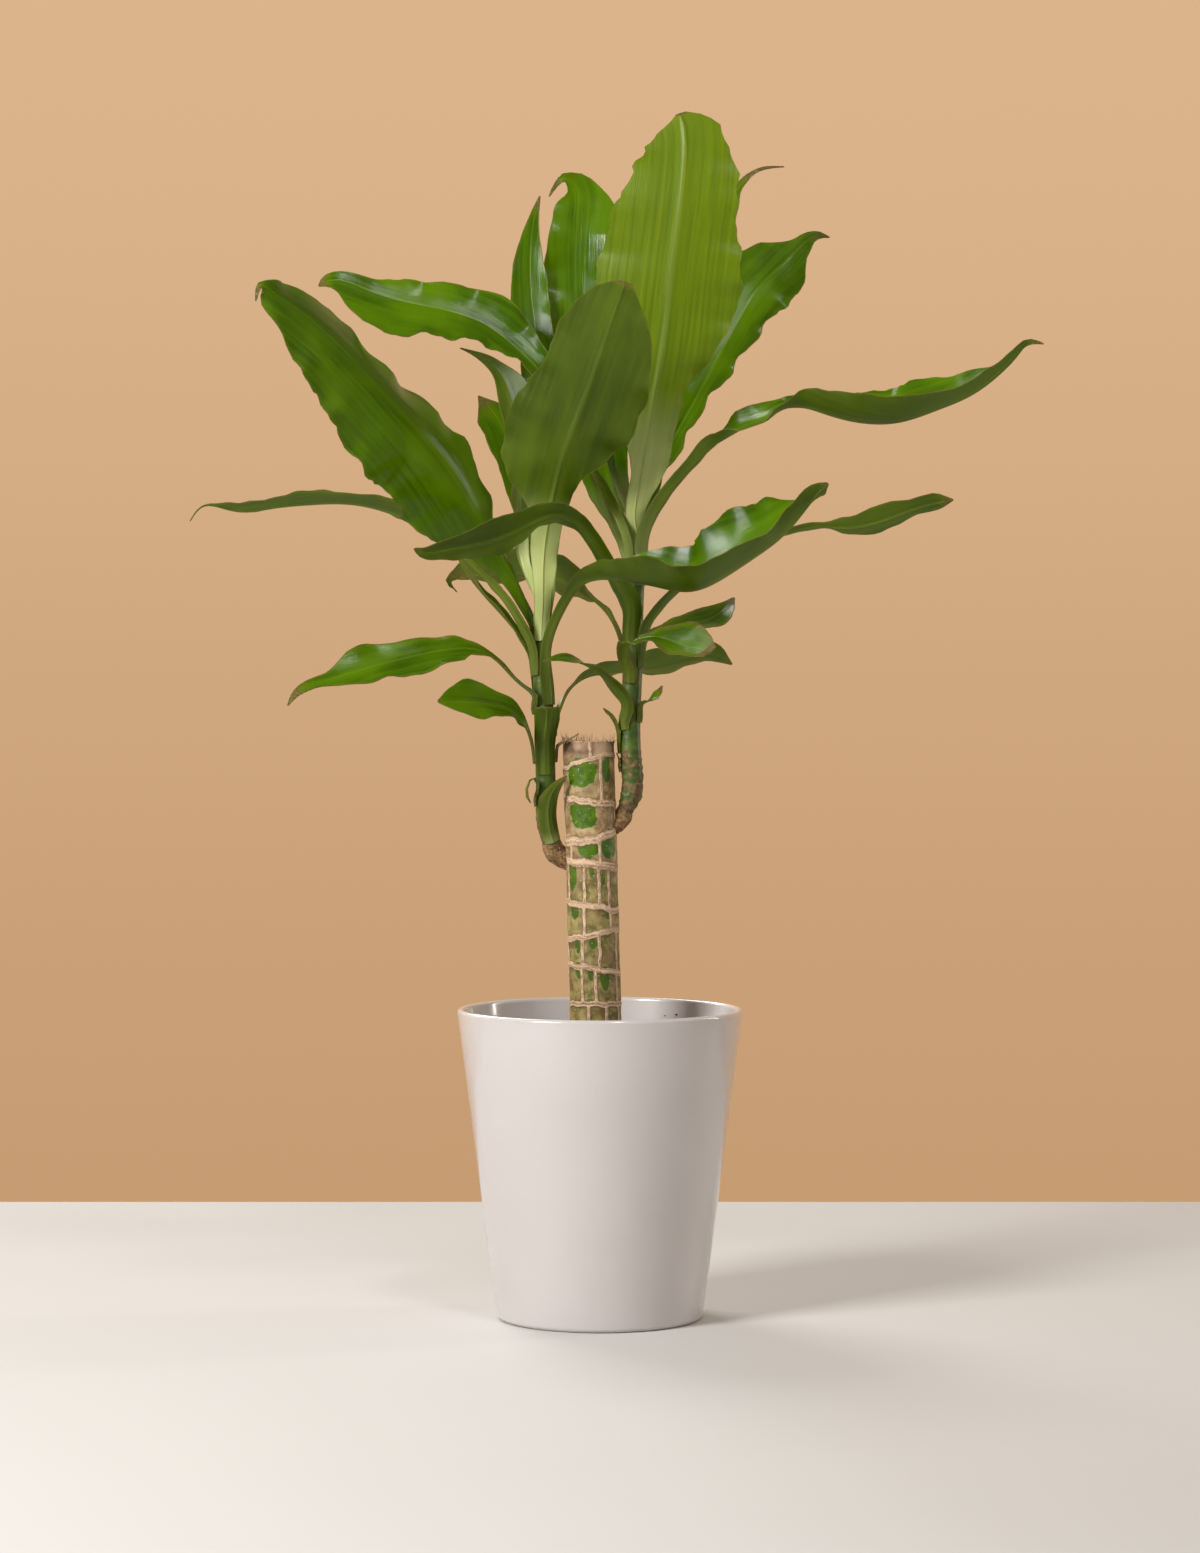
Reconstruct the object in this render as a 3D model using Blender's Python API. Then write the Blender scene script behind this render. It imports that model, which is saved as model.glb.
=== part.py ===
"""A potted corn plant (dracaena): a sawn cane with two leafy shoots, in a glazed ceramic pot.

The pot stands on the plane z = 0 with the middle of its foot at the origin. The cane stands in
potting mix and carries two shoots, one on each side. Every leaf and every small bract is a
closed, slightly thick sheet whose base clasps its shoot. Lengths are in metres, apart from the
tables of shoots and leaves, which are in millimetres from the foot of their shoot.
"""
import math

import bmesh
import bpy
import numpy as np

MM = 0.001

# Pot
POT_HEIGHT = 0.178
POT_MOUTH_DIAMETER = 0.165
POT_FOOT_DIAMETER = 0.1184
POT_WALL = 0.004
POT_FLOOR = 0.006
POT_FOOT_ROUNDING = 0.003
POT_SIDES = 48
ROUNDING_STEPS = 4

# Potting mix
MIX_BELOW_RIM = 0.030

# Cane, whose axis leans to the left as it rises
CANE_DIAMETER = 0.030
CANE_ABOVE_RIM = 0.1536
CANE_IN_MIX = 0.075
CANE_OFFSET_AT_RIM = -0.0026
CANE_LEAN = -0.027
CANE_SIDES = 24
CANE_STEPS = 12

# Calluses: the swellings of the cane that the shoots stand on
CALLUS_DROP = 0.012
CALLUS_ROOT_DIAMETER = 0.013
CALLUS_SIDES = 16
CALLUS_STEPS = 5

# Shoots: how far the foot stands out from the cane, and how far it is below the cane's top
LEFT_FOOT_REACH = 0.0074
LEFT_FOOT_DROP = 0.0585
RIGHT_FOOT_REACH = 0.0046
RIGHT_FOOT_DROP = 0.0407
SHOOT_SIDES = 14
SHOOT_STEPS = 14
SHOOT_SAMPLES = 400

# Leaves
LEAF_THICKNESS = 0.0008
LEAF_COLUMNS = 5
LEAF_ROW_PITCH = 0.013
LEAF_ROWS_LEAST = 6
LEAF_ROWS_MOST = 17
LEAST_HALF_WIDTH = 0.0003
ACROSS_STEPS = 24
FORWARD_STEP = 0.00065
CLASP_LENGTH = 0.009
CLASP_SHARE_OF_RISE = 0.45
CLASP_FADE = 0.025
CLASP_TURN_MOST = 2.6
CLASP_NARROWING = 0.85
CLASP_SLACK = (0.0001, 0.0005)

# Heights that follow from the sizes above
MIX_TOP = POT_HEIGHT - MIX_BELOW_RIM
CANE_BOTTOM = MIX_TOP - CANE_IN_MIX
CANE_TOP = POT_HEIGHT + CANE_ABOVE_RIM

# Clearance left between neighbouring pieces
GAP = 0.0003

# Base colour and roughness of each finish
GLAZE = ((0.62, 0.59, 0.57), 0.22)
DARK_MIX = ((0.045, 0.030, 0.020), 0.95)
BARK = ((0.38, 0.27, 0.16), 0.80)
SHOOT_GREEN = ((0.12, 0.22, 0.06), 0.45)
LEAF_GREEN = ((0.07, 0.20, 0.02), 0.35)

# Shoot axes: x, y, z from the foot and the radius there, in millimetres
LEFT_SHOOT = [
    (0, 0, 0, 5.2), (-3, -3, 12, 5.6), (-3.5, -4, 30.5, 5.8), (-4, -4, 53.5, 5.8),
    (-4.5, -3, 76.5, 5.6), (-6, -2, 99, 5.2), (-6, -1, 119.5, 4.4), (-5, 0, 139.5, 3)]
RIGHT_SHOOT = [
    (0, 0, 0, 4.4), (4, 0, 10, 6), (4, 0, 28.5, 6.2), (3.5, 0, 47, 5.8), (4, 1, 64.5, 5.8),
    (5, 1, 90, 5.8), (5.5, 1, 116, 5.6), (7, 1, 141.5, 5.2), (8, 2, 161.5, 3.2)]

# Leaves: the height of the base up the shoot, half the girth of the clasp, the turn there, and
# the midrib as x, y, z, turn, left half width, right half width. The turn is how far, in
# degrees, the upper face has rolled about the midrib from facing the front. fold is how steeply
# the two halves of the blade rise from the midrib, and curl how much more they bend on the way
# to the margins, both in degrees.
LEFT_LEAVES = [
    dict(name="left_shoot_curled_bract", base=21, clasp=2, turn=110, fold=5, midrib=[
        (-8, -11.5, 33, 110, 2.5, 2.5), (-10.5, -13.5, 37.5, 100, 2.5, 2.5),
        (-14, -15, 28.5, 70, 2.5, 2.5), (-12, -15, 23.5, 70, 0.5, 0.5)]),
    dict(name="left_shoot_front_bract", base=0.5, clasp=6.5, turn=190, fold=5, midrib=[
        (-2, -11, 20.5, 190, 5.5, 7), (0.5, -13, 29.5, 190, 4, 4.5), (8.5, -15, 39, 190, 0.5, 0.5)]),
    dict(name="left_shoot_dry_stub", base=46.5, clasp=3, turn=-80, fold=5, midrib=[
        (4, -8, 56, -80, 2.5, 2.5), (9.5, -12, 59.5, -80, 1.5, 1.5),
        (15.5, -13, 63, -80, 0.5, 0.5)]),
    dict(name="left_shoot_cut_sheath", base=39.5, clasp=6.5, turn=180, fold=0, curl=50, midrib=[
        (-3.5, -11.5, 62, 180, 7, 7.5), (-2.5, -12.5, 72, 180, 7.5, 8),
        (-2.5, -14, 78, 180, 7, 7.5)]),
    dict(name="left_leaf_short", base=45.5, clasp=3.5, turn=92, midrib=[
        (-12.5, -7, 60.5, 92, 4, 4), (-22, -22, 75.5, 55, 7.5, 7.5), (-32, -31.5, 79, 42, 10, 10),
        (-43, -41, 81, 38, 13, 13.5), (-52.5, -49.5, 81.5, 38, 9.5, 10.5),
        (-63, -57, 81.5, 38, 1, 1)]),
    dict(name="left_leaf_low_right", base=61.5, clasp=5, turn=-80, midrib=[
        (5, -1, 77.5, -80, 5, 5), (9, 5.5, 86.5, -90, 4.5, 4.5), (28.5, 28.5, 98, -115, 8.5, 8.5),
        (60, 52, 101, -115, 16.5, 16.5), (77.5, 62.5, 105, -118, 15.5, 15.5),
        (93.5, 70.5, 107.5, -120, 10, 10), (105.5, 76, 102.5, -120, 1, 1)]),
    dict(name="left_leaf_low_left", base=74, clasp=5, turn=100, midrib=[
        (-10.5, -8, 84, 100, 5, 5), (-17, -12, 90.5, 95, 4.5, 4.5), (-35, -23.5, 107.5, 70, 4, 4),
        (-46, -29, 111, 50, 5.5, 5.5), (-54, -33, 111, 40, 11.5, 9), (-85, -47, 105, 36, 15.5, 11),
        (-100, -54, 101, 36, 14.5, 15), (-124, -65.5, 93.5, 40, 6, 5), (-141, -73.5, 86, 45, 3, 3),
        (-145.5, -77, 79.5, 45, 0.5, 0.5)]),
    dict(name="left_leaf_back", base=88, clasp=4, turn=42, midrib=[
        (-13, 5, 108, 60, 4.5, 4.5), (-28.5, 16.5, 131, 80, 6, 6), (-53, 37.5, 162, 90, 8.5, 8.5),
        (-61, 46, 180, 90, 1, 1)]),
    dict(name="left_leaf_long_left", base=96, clasp=4.5, turn=125, midrib=[
        (-12, -6, 110.5, 125, 4.5, 4.5), (-18.5, -9, 125.5, 125, 5, 5),
        (-28, -8, 140.5, 120, 4.5, 4.5), (-41.5, 3.5, 155, 115, 4.5, 4.5),
        (-54, 14, 167, 110, 6, 6), (-66, 19, 176, 108, 10.5, 10.5),
        (-81, 21, 185, 108, 13.5, 13.5), (-117, 25, 196, 98, 14.5, 14.5),
        (-141, 31, 196, 102, 14.5, 14.5), (-164, 37, 194, 100, 13.5, 13.5),
        (-184, 42, 192.5, 98, 10.5, 10.5), (-205.5, 48, 194.5, 90, 2, 2),
        (-212.5, 51, 186.5, 90, 0.5, 0.5)]),
    dict(name="left_leaf_front_right", base=79.5, clasp=6, turn=-135, fold=34, curl=30, midrib=[
        (-1.5, -10.5, 108, -135, 5.5, 5.5), (9, -25, 137, -135, 5, 5),
        (17.5, -33.5, 147.5, -125, 7, 7), (28, -40, 151, -100, 11.5, 11.5),
        (42, -47, 150, -76, 19, 21.5), (58, -54, 147, -72, 28, 32.5),
        (78, -62, 144, -71, 30, 37), (94, -69, 150, -72, 34.5, 36), (111, -77, 161, -75, 38.5, 30),
        (127, -85, 173, -82, 35, 21.5), (140, -92, 188, -106, 23, 12.5),
        (149, -97.5, 198.5, -135, 5.5, 5.5), (152.5, -99, 201.5, -135, 1, 1)]),
    dict(name="left_leaf_broad_left", base=108, clasp=3.5, turn=68, fold=-26, curl=-8, midrib=[
        (-12, 3, 126.5, 60, 4.5, 4.5), (-25.5, -4.5, 158, 48, 8.5, 8),
        (-41.5, -23, 186.5, 38, 28.5, 26), (-51, -33, 202, 36, 35, 33),
        (-63, -43, 219, 38, 38, 37), (-84, -59, 243, 44, 39, 35), (-104, -74, 265, 46, 34.5, 30),
        (-124, -88, 285, 46, 27.5, 26.5), (-142, -100, 299, 42, 17.5, 16.5),
        (-152, -107.5, 306, 40, 10, 10), (-157, -110, 309, 40, 3.5, 2.5),
        (-159.5, -114, 300, 30, 0.5, 0.5)]),
    dict(name="left_leaf_front_upright", base=116, clasp=5, turn=180, fold=6, curl=6, midrib=[
        (-5, -11, 139, 180, 5, 5), (-4.5, -16, 162, 180, 8, 7.5),
        (-2, -21.5, 181.5, 180, 8.5, 9.5), (3, -31, 204, 180, 11.5, 29.5),
        (8, -41, 223, 180, 25, 37), (16, -54, 244, 180, 34.5, 32.5),
        (33, -81, 289.5, 176, 24.5, 24), (38.5, -89.5, 303.5, 175, 13, 16.5),
        (42, -94, 312, 175, 3.5, 3.5)]),
    dict(name="left_leaf_pale", base=124.5, clasp=3.5, turn=120, fold=14, midrib=[
        (-9, -4, 138, 122, 4, 4), (-15, -3, 155.5, 130, 5, 4.5), (-19, 11.5, 191, 140, 8, 6),
        (-20, 23, 221, 145, 11, 7.5), (-22, 32, 241, 150, 14, 10), (-26, 38.5, 261, 150, 13, 8.5),
        (-32.5, 42, 274.5, 150, 5.5, 5.5), (-54, 46, 287, 120, 0.5, 0.5)]),
    dict(name="left_leaf_behind_pale", base=100.5, clasp=3.5, turn=-5, midrib=[
        (-4.5, 8, 132.5, -5, 4, 4), (-10, 25.5, 168.5, 10, 7, 7), (-17, 42.5, 198.5, 20, 9.5, 9.5),
        (-24, 59, 225.5, 15, 12, 10.5), (-32.5, 71.5, 246.5, 15, 12, 9.5),
        (-44.5, 81, 261.5, 15, 0.5, 0.5)]),
    dict(name="left_leaf_narrow_upright", base=117.5, clasp=3.5, turn=-50, midrib=[
        (-0.5, 6, 145, -40, 4, 4), (-2, 32.5, 209.5, 0, 7.5, 7.5), (-8, 56, 280.5, 0, 11.5, 11.5),
        (-12.5, 65, 313.5, 0, 12.5, 11), (-10, 75, 371.5, 0, 2, 2), (-8, 76, 379, 0, 0.5, 0.5)])]
RIGHT_LEAVES = [
    dict(name="right_shoot_bud_scale", base=23, clasp=2.5, turn=95, fold=5, midrib=[
        (-3, -3, 30, 95, 2.5, 2.5), (-4.5, -4, 34, 95, 0.5, 0.5)]),
    dict(name="right_shoot_curled_bract", base=33.5, clasp=3.5, turn=95, fold=5, midrib=[
        (-4, -2, 46.5, 95, 4, 4), (-7.5, -2, 54.5, 105, 4, 4), (-12, -3, 59.5, 120, 0.5, 0.5)]),
    dict(name="right_leaf_tiny", base=51.5, clasp=3.5, turn=-120, midrib=[
        (10, -6, 61.5, -120, 3, 3), (18, -11, 66, -60, 4.5, 4.5), (21.5, -12, 72.5, -50, 0.5, 0.5)]),
    dict(name="right_leaf_narrow_left", base=47, clasp=5, turn=135, midrib=[
        (0.5, -8, 60, 140, 5.5, 5.5), (-3.5, -14.5, 68.5, 140, 5, 5), (-16, -30, 81, 110, 5, 4.5),
        (-32.5, -46.5, 87.5, 65, 5.5, 5.5), (-45.5, -58, 86.5, 65, 0.5, 0.5)]),
    dict(name="right_leaf_brown_patched", base=74, clasp=4.5, turn=-190, midrib=[
        (1.5, -8.5, 86, -180, 4.5, 4.5), (0.5, -14.5, 94, -130, 5.5, 5.5),
        (7, -23.5, 98.5, -80, 5.5, 10), (17, -36, 100, -55, 8, 11.5), (26, -50, 97.5, -50, 18, 11),
        (35.5, -63.5, 94.5, -45, 14.5, 12.5), (47, -82, 91, -40, 4.5, 4.5)]),
    dict(name="right_leaf_small_dark", base=82.5, clasp=4.5, turn=-60, midrib=[
        (12, 6, 97, -60, 4.5, 4.5), (21.5, 18, 104, -60, 4.5, 4.5), (34, 32, 107.5, -50, 7, 7),
        (53.5, 55, 113, -45, 10, 10.5), (65, 70, 124, -45, 1, 1)]),
    dict(name="right_leaf_back_left", base=90, clasp=4.5, turn=80, midrib=[
        (-3, 3, 100, 80, 4.5, 4.5), (-17, 24.5, 122, 90, 7.5, 7.5), (-26, 35, 128.5, 120, 13, 13),
        (-37, 46, 134, 130, 17.5, 17.5), (-70, 70, 139, 120, 19, 19),
        (-86, 80, 138, 120, 15.5, 15.5), (-98, 87.5, 136.5, 115, 9, 9),
        (-103, 90.5, 134.5, 100, 5, 5), (-99.5, 95, 128, 80, 0.5, 0.5)]),
    dict(name="right_leaf_right", base=82.5, clasp=4, turn=-124, midrib=[
        (11.5, -7.5, 99.5, -128, 5, 5), (38.5, -20, 133.5, -115, 4.5, 4.5),
        (96.5, -26, 160.5, -115, 4.5, 4.5), (112, -28.5, 162.5, -125, 3, 3),
        (125, -30, 162, -130, 8, 8), (151, -36, 168, -130, 11.5, 11.5),
        (163.5, -39.5, 172.5, -130, 7.5, 8), (174.5, -42.5, 175.5, -130, 7, 7.5),
        (184.5, -45, 177, -130, 0.5, 0.5)]),
    dict(name="right_leaf_front_left", base=97.5, clasp=6, turn=160, midrib=[
        (3.5, -9, 115.5, 160, 7, 7), (-3, -17, 130, 155, 6.5, 6.5), (-10.5, -27, 142.5, 150, 5, 5),
        (-40, -56, 168, 130, 8.5, 10.5), (-53, -64, 163, 130, 10, 14.5),
        (-69, -74, 155, 130, 13.5, 17), (-102, -92, 147, 130, 6.5, 7.5),
        (-110.5, -96.5, 146, 130, 4.5, 5), (-115.5, -100, 148, 130, 1, 1)]),
    dict(name="right_leaf_arched_left", base=134, clasp=5, turn=115, midrib=[
        (0, -6, 155.5, 120, 5.5, 5.5), (-10, 0, 179, 130, 5, 5), (-19.5, 6, 197.5, 120, 5, 5),
        (-37, 17, 231, 70, 7, 7), (-48, 23, 252, 45, 8, 10.5), (-63, 27, 268, 35, 10.5, 16),
        (-80, 29, 281, 32, 17.5, 20.5), (-101, 29, 289, 30, 22, 17.5),
        (-124, 28, 294, 30, 27.5, 14.5), (-147, 26.5, 300.5, 30, 22, 8.5),
        (-172, 22.5, 305.5, 30, 4.5, 4.5), (-176.5, 22, 303, 30, 0.5, 0.5)]),
    dict(name="right_leaf_long_right", base=130, clasp=5, turn=-135, fold=26, curl=26, midrib=[
        (12, -7, 153, -135, 6.5, 6.5), (39.5, -23, 198.5, -140, 5, 5),
        (48.5, -27, 207.5, -130, 7, 7), (57, -30, 213, -90, 8, 8), (68, -33, 219, -50, 10.5, 10.5),
        (79, -36, 223, -45, 10, 10), (90, -39, 229, -70, 7, 7), (99, -40, 230, -103, 15, 11.5),
        (113, -44, 226, -97, 29, 17), (132, -48, 221, -93, 39, 23.5),
        (154, -54, 221, -88, 41, 26), (173, -59, 227, -87, 37, 23.5), (192, -65, 235, -88, 27, 18.5),
        (208, -71, 247, -95, 17, 13), (217.5, -75, 257, -107, 7, 6.5),
        (223, -77, 262, -120, 3.5, 3.5), (231, -80, 261.5, -120, 0.5, 0.5)]),
    dict(name="right_leaf_tall_upright", base=146.5, clasp=5, turn=180, fold=4, curl=4, midrib=[
        (6, -7, 167, 180, 5.5, 5.5), (9, -10, 189.5, 180, 10.5, 5.5),
        (13, -13, 212.5, 180, 15.5, 13.5), (17, -15, 238, 180, 17, 19),
        (22, -18, 266, 180, 28.5, 31.5), (25, -20, 291, 180, 41, 40.5),
        (28, -21, 316, 180, 38.5, 41), (34, -17.5, 367.5, 180, 28.5, 28.5),
        (33, -14.5, 392, 180, 15, 9.5), (31.5, -14, 397.5, 180, 3.5, 2.5)]),
    dict(name="right_leaf_right_upright", base=141, clasp=3, turn=-65, midrib=[
        (13, 8, 167.5, -45, 4, 4), (18, 19.5, 191, -35, 7, 6), (27, 31, 212, -30, 11.5, 9.5),
        (40, 45, 236, -20, 17.5, 8), (54, 60, 262, -15, 23.5, 13), (68, 73, 288, -10, 29.5, 17),
        (82, 84, 310, -5, 25, 21.5), (96, 92, 324, 0, 15.5, 16.5), (105.5, 96, 334, 20, 6, 7),
        (114.5, 98.5, 340.5, 50, 4, 4), (123, 100, 339.5, 60, 0.5, 0.5)]),
    dict(name="right_leaf_hidden_tip", base=150.5, clasp=2.5, turn=11, midrib=[
        (11, 13, 168, 0, 3.5, 3.5), (16.5, 35.5, 203.5, 0, 8, 8), (26, 63, 246, 0, 13, 13),
        (38, 87, 295, 0, 15.5, 15.5), (61, 113, 357, 0, 8, 8), (71, 118.5, 373.5, -30, 2.5, 2.5),
        (80.5, 121, 381.5, -60, 2.5, 2.5), (97, 125, 384.5, -60, 0.5, 0.5)]),
    dict(name="right_leaf_inner", base=144.5, clasp=3.5, turn=80, midrib=[
        (3, 3, 164, 55, 4, 4), (-1, 9, 183.5, 40, 6, 5), (-9, 26, 229, 15, 10.5, 10.5),
        (-10.5, 34, 255.5, 10, 10.5, 10.5), (-8.5, 42, 288, 5, 0.5, 0.5)]),
    dict(name="right_leaf_back_upright", base=125, clasp=4, turn=30, midrib=[
        (0, 9, 153.5, 25, 4.5, 4.5), (-9.5, 23, 177, 15, 8, 8), (-23, 50.5, 230.5, 5, 15, 15),
        (-28, 73, 300, 0, 20, 20), (-27, 84, 354, 0, 14.5, 22.5), (-28.5, 85, 368, 0, 5.5, 10.5),
        (-33.5, 83, 372.5, 0, 3, 3.5), (-44, 80, 361.5, 0, 0.5, 0.5)])]
USUAL_FOLD = 12
USUAL_CURL = 10
CREASE_SHARPNESS = 3
TIP_SHARE = 0.35
TIP_FLATNESS = 0.35


def remove_all_objects():
    for item in list(bpy.data.objects):
        bpy.data.objects.remove(item)


def finish(name, colour_and_roughness):
    """A Principled material of one colour."""
    colour, roughness = colour_and_roughness
    material = bpy.data.materials.new(name)
    material.use_nodes = True
    shader = material.node_tree.nodes["Principled BSDF"]
    shader.inputs["Base Color"].default_value = (*colour, 1.0)
    shader.inputs["Roughness"].default_value = roughness
    shader.inputs["Metallic"].default_value = 0.0
    return material


def add_object(name, vertices, faces, look=None, smooth_angle=40):
    """An object from plain lists, shaded smooth; without a look it only cuts or joins others."""
    mesh = bpy.data.meshes.new(name)
    mesh.from_pydata([tuple(v) for v in vertices], [], faces)
    mesh.shade_smooth()
    mesh.set_sharp_from_angle(angle=math.radians(smooth_angle))
    item = bpy.data.objects.new(name, mesh)
    bpy.context.scene.collection.objects.link(item)
    if look is None:
        item.hide_render = True
        item.display_type = "WIRE"
    else:
        mesh.materials.append(finish(name, look))
    return item


def combine(item, tool, operation):
    """Cut or join with another object by an exact Boolean."""
    modifier = item.modifiers.new(operation.lower(), "BOOLEAN")
    modifier.operation = operation
    modifier.object = tool
    modifier.solver = "EXACT"


def unit(vectors):
    return vectors / np.linalg.norm(vectors, axis=-1, keepdims=True)


def distances_along(points):
    """Length of the polyline from its first point to each point."""
    steps = np.linalg.norm(np.diff(points, axis=0), axis=1)
    return np.concatenate([[0.0], np.cumsum(steps)])


def spline(knots, values, at):
    """Natural cubic spline through the values, read at the given places."""
    count = len(knots)
    spans = np.diff(knots)
    slopes = np.diff(values, axis=0) / spans[:, None]
    system = np.eye(count)
    right_side = np.zeros(values.shape)
    for i in range(1, count - 1):
        system[i, i - 1:i + 2] = spans[i - 1], 2 * (spans[i - 1] + spans[i]), spans[i]
        right_side[i] = 6 * (slopes[i] - slopes[i - 1])
    bends = np.linalg.solve(system, right_side)
    i = np.clip(np.searchsorted(knots, at) - 1, 0, count - 2)
    span = spans[i][:, None]
    before = (knots[i + 1] - at)[:, None] / span
    after = 1 - before
    curve = (before ** 3 - before) * bends[i] + (after ** 3 - after) * bends[i + 1]
    return before * values[i] + after * values[i + 1] + curve * span ** 2 / 6


def smoothstep(share):
    share = np.clip(share, 0, 1)
    return share * share * (3 - 2 * share)


def eased(knots, values, at):
    """Values that ease from one knot to the next and never overshoot."""
    i = np.clip(np.searchsorted(knots, at) - 1, 0, len(knots) - 2)
    share = smoothstep((at - knots[i]) / (knots[i + 1] - knots[i]))
    return values[i] * (1 - share) + values[i + 1] * share


def steady(knots, values, at):
    """Monotone cubic through the values, for widths that must not overshoot."""
    spans = np.diff(knots)
    slopes = np.diff(values) / spans
    tangents = np.zeros(len(knots))
    tangents[0] = slopes[0]
    tangents[-1] = slopes[-1]
    for i in range(1, len(knots) - 1):
        if slopes[i - 1] * slopes[i] > 0:
            before = 2 * spans[i] + spans[i - 1]
            after = spans[i] + 2 * spans[i - 1]
            tangents[i] = (before + after) / (before / slopes[i - 1] + after / slopes[i])
    i = np.clip(np.searchsorted(knots, at) - 1, 0, len(knots) - 2)
    t = (at - knots[i]) / spans[i]
    ends = smoothstep(t) * (values[i + 1] - values[i]) + values[i]
    return ends + spans[i] * t * (1 - t) * ((1 - t) * tangents[i] - t * tangents[i + 1])


def tube(points, radii, sides):
    """Vertices and faces of a closed round tube along the points."""
    forward = unit(np.gradient(points, axis=0))
    across = unit(np.cross(forward, (0.0, -1.0, 0.0)))
    up = np.cross(forward, across)
    angles = np.arange(sides) * 2 * math.pi / sides
    rings = [
        point + radius * (np.outer(np.cos(angles), a) + np.outer(np.sin(angles), b))
        for point, radius, a, b in zip(points, radii, across, up)]
    faces = [tuple(range(sides))[::-1]]
    for ring in range(len(points) - 1):
        for side in range(sides):
            here = ring * sides + side
            beside = ring * sides + (side + 1) % sides
            faces.append((here, beside, beside + sides, here + sides))
    last = (len(points) - 1) * sides
    faces.append(tuple(range(last, last + sides)))
    return np.concatenate(rings), faces


def arc(centre, radius, start, end):
    """Points of a quarter or half round, angles in degrees."""
    angles = np.radians(np.linspace(start, end, ROUNDING_STEPS + 1))
    return [(centre[0] + radius * math.cos(a), centre[1] + radius * math.sin(a)) for a in angles]


def turned(name, profile, look):
    """Spin an open profile of (radius, height) points, both ends on the axis, about Z."""
    bm = bmesh.new()
    points = [bm.verts.new((radius, 0.0, height)) for radius, height in profile]
    for low, high in zip(points, points[1:]):
        bm.edges.new((low, high))
    bmesh.ops.spin(
        bm, geom=bm.verts[:] + bm.edges[:], cent=(0, 0, 0), axis=(0, 0, 1),
        angle=2 * math.pi, steps=POT_SIDES)
    bmesh.ops.remove_doubles(bm, verts=bm.verts, dist=1e-6)
    bmesh.ops.recalc_face_normals(bm, faces=bm.faces)
    mesh = bpy.data.meshes.new(name)
    bm.to_mesh(mesh)
    bm.free()
    mesh.materials.append(finish(name, look))
    mesh.shade_smooth()
    mesh.set_sharp_from_angle(angle=math.radians(35))
    item = bpy.data.objects.new(name, mesh)
    bpy.context.scene.collection.objects.link(item)
    return item


def outer_radius(height):
    """Radius of the pot's straight outer side."""
    rise = (POT_MOUTH_DIAMETER - POT_FOOT_DIAMETER) / 2 / POT_HEIGHT
    return POT_FOOT_DIAMETER / 2 + rise * height


def inner_radius(height):
    return outer_radius(height) - POT_WALL


def add_pot():
    foot = POT_FOOT_ROUNDING
    lip = POT_WALL / 2
    lip_height = POT_HEIGHT - lip
    profile = [(0.0, 0.0)]
    profile += arc((outer_radius(foot) - foot, foot), foot, -90, 0)
    profile += arc((outer_radius(lip_height) - lip, lip_height), lip, 0, 180)
    profile += [(inner_radius(POT_FLOOR), POT_FLOOR), (0.0, POT_FLOOR)]
    turned("planter", profile, GLAZE)


def cane_axis(height):
    """Point on the cane's leaning axis."""
    return np.array([CANE_OFFSET_AT_RIM + CANE_LEAN * (height - POT_HEIGHT), 0.0, height])


def cane_tube(name, low, high, radius, look=None):
    points = np.array([cane_axis(z) for z in np.linspace(low, high, CANE_STEPS + 1)])
    return add_object(name, *tube(points, np.full(len(points), radius), CANE_SIDES), look)


def add_mix():
    """Potting mix that fills the pot, with a hole that the cane stands in."""
    bottom = POT_FLOOR + GAP
    profile = [
        (0.0, bottom), (inner_radius(bottom) - GAP, bottom),
        (inner_radius(MIX_TOP) - GAP, MIX_TOP), (0.0, MIX_TOP)]
    mix = turned("potting_mix", profile, DARK_MIX)
    past_the_top = MIX_TOP + CANE_DIAMETER
    hole = cane_tube("cane_hole", CANE_BOTTOM - GAP, past_the_top, CANE_DIAMETER / 2 + GAP)
    combine(mix, hole, "DIFFERENCE")


def shoot_foot(side, reach, drop):
    """Where a shoot starts: beside the cane, at a depth below its sawn top."""
    foot = cane_axis(CANE_TOP - drop)
    foot[0] += side * (CANE_DIAMETER / 2 + reach)
    return foot


class Shoot:
    """A round stem along a smooth axis, that knows its middle and radius at any height."""

    def __init__(self, foot, table):
        table = np.array(table, float) * MM
        self.foot = foot
        self.through = foot + table[:, :3]
        self.radii_through = table[:, 3]
        self.knots = distances_along(self.through)

    def read(self, count):
        along = np.linspace(0, self.knots[-1], count)
        points = spline(self.knots, self.through, along)
        return points, np.interp(along, self.knots, self.radii_through)

    def at_height(self, height):
        points, radii = self.read(SHOOT_SAMPLES)
        middle = np.array([np.interp(height, points[:, 2], points[:, i]) for i in range(3)])
        return middle, np.interp(height, points[:, 2], radii)


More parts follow.
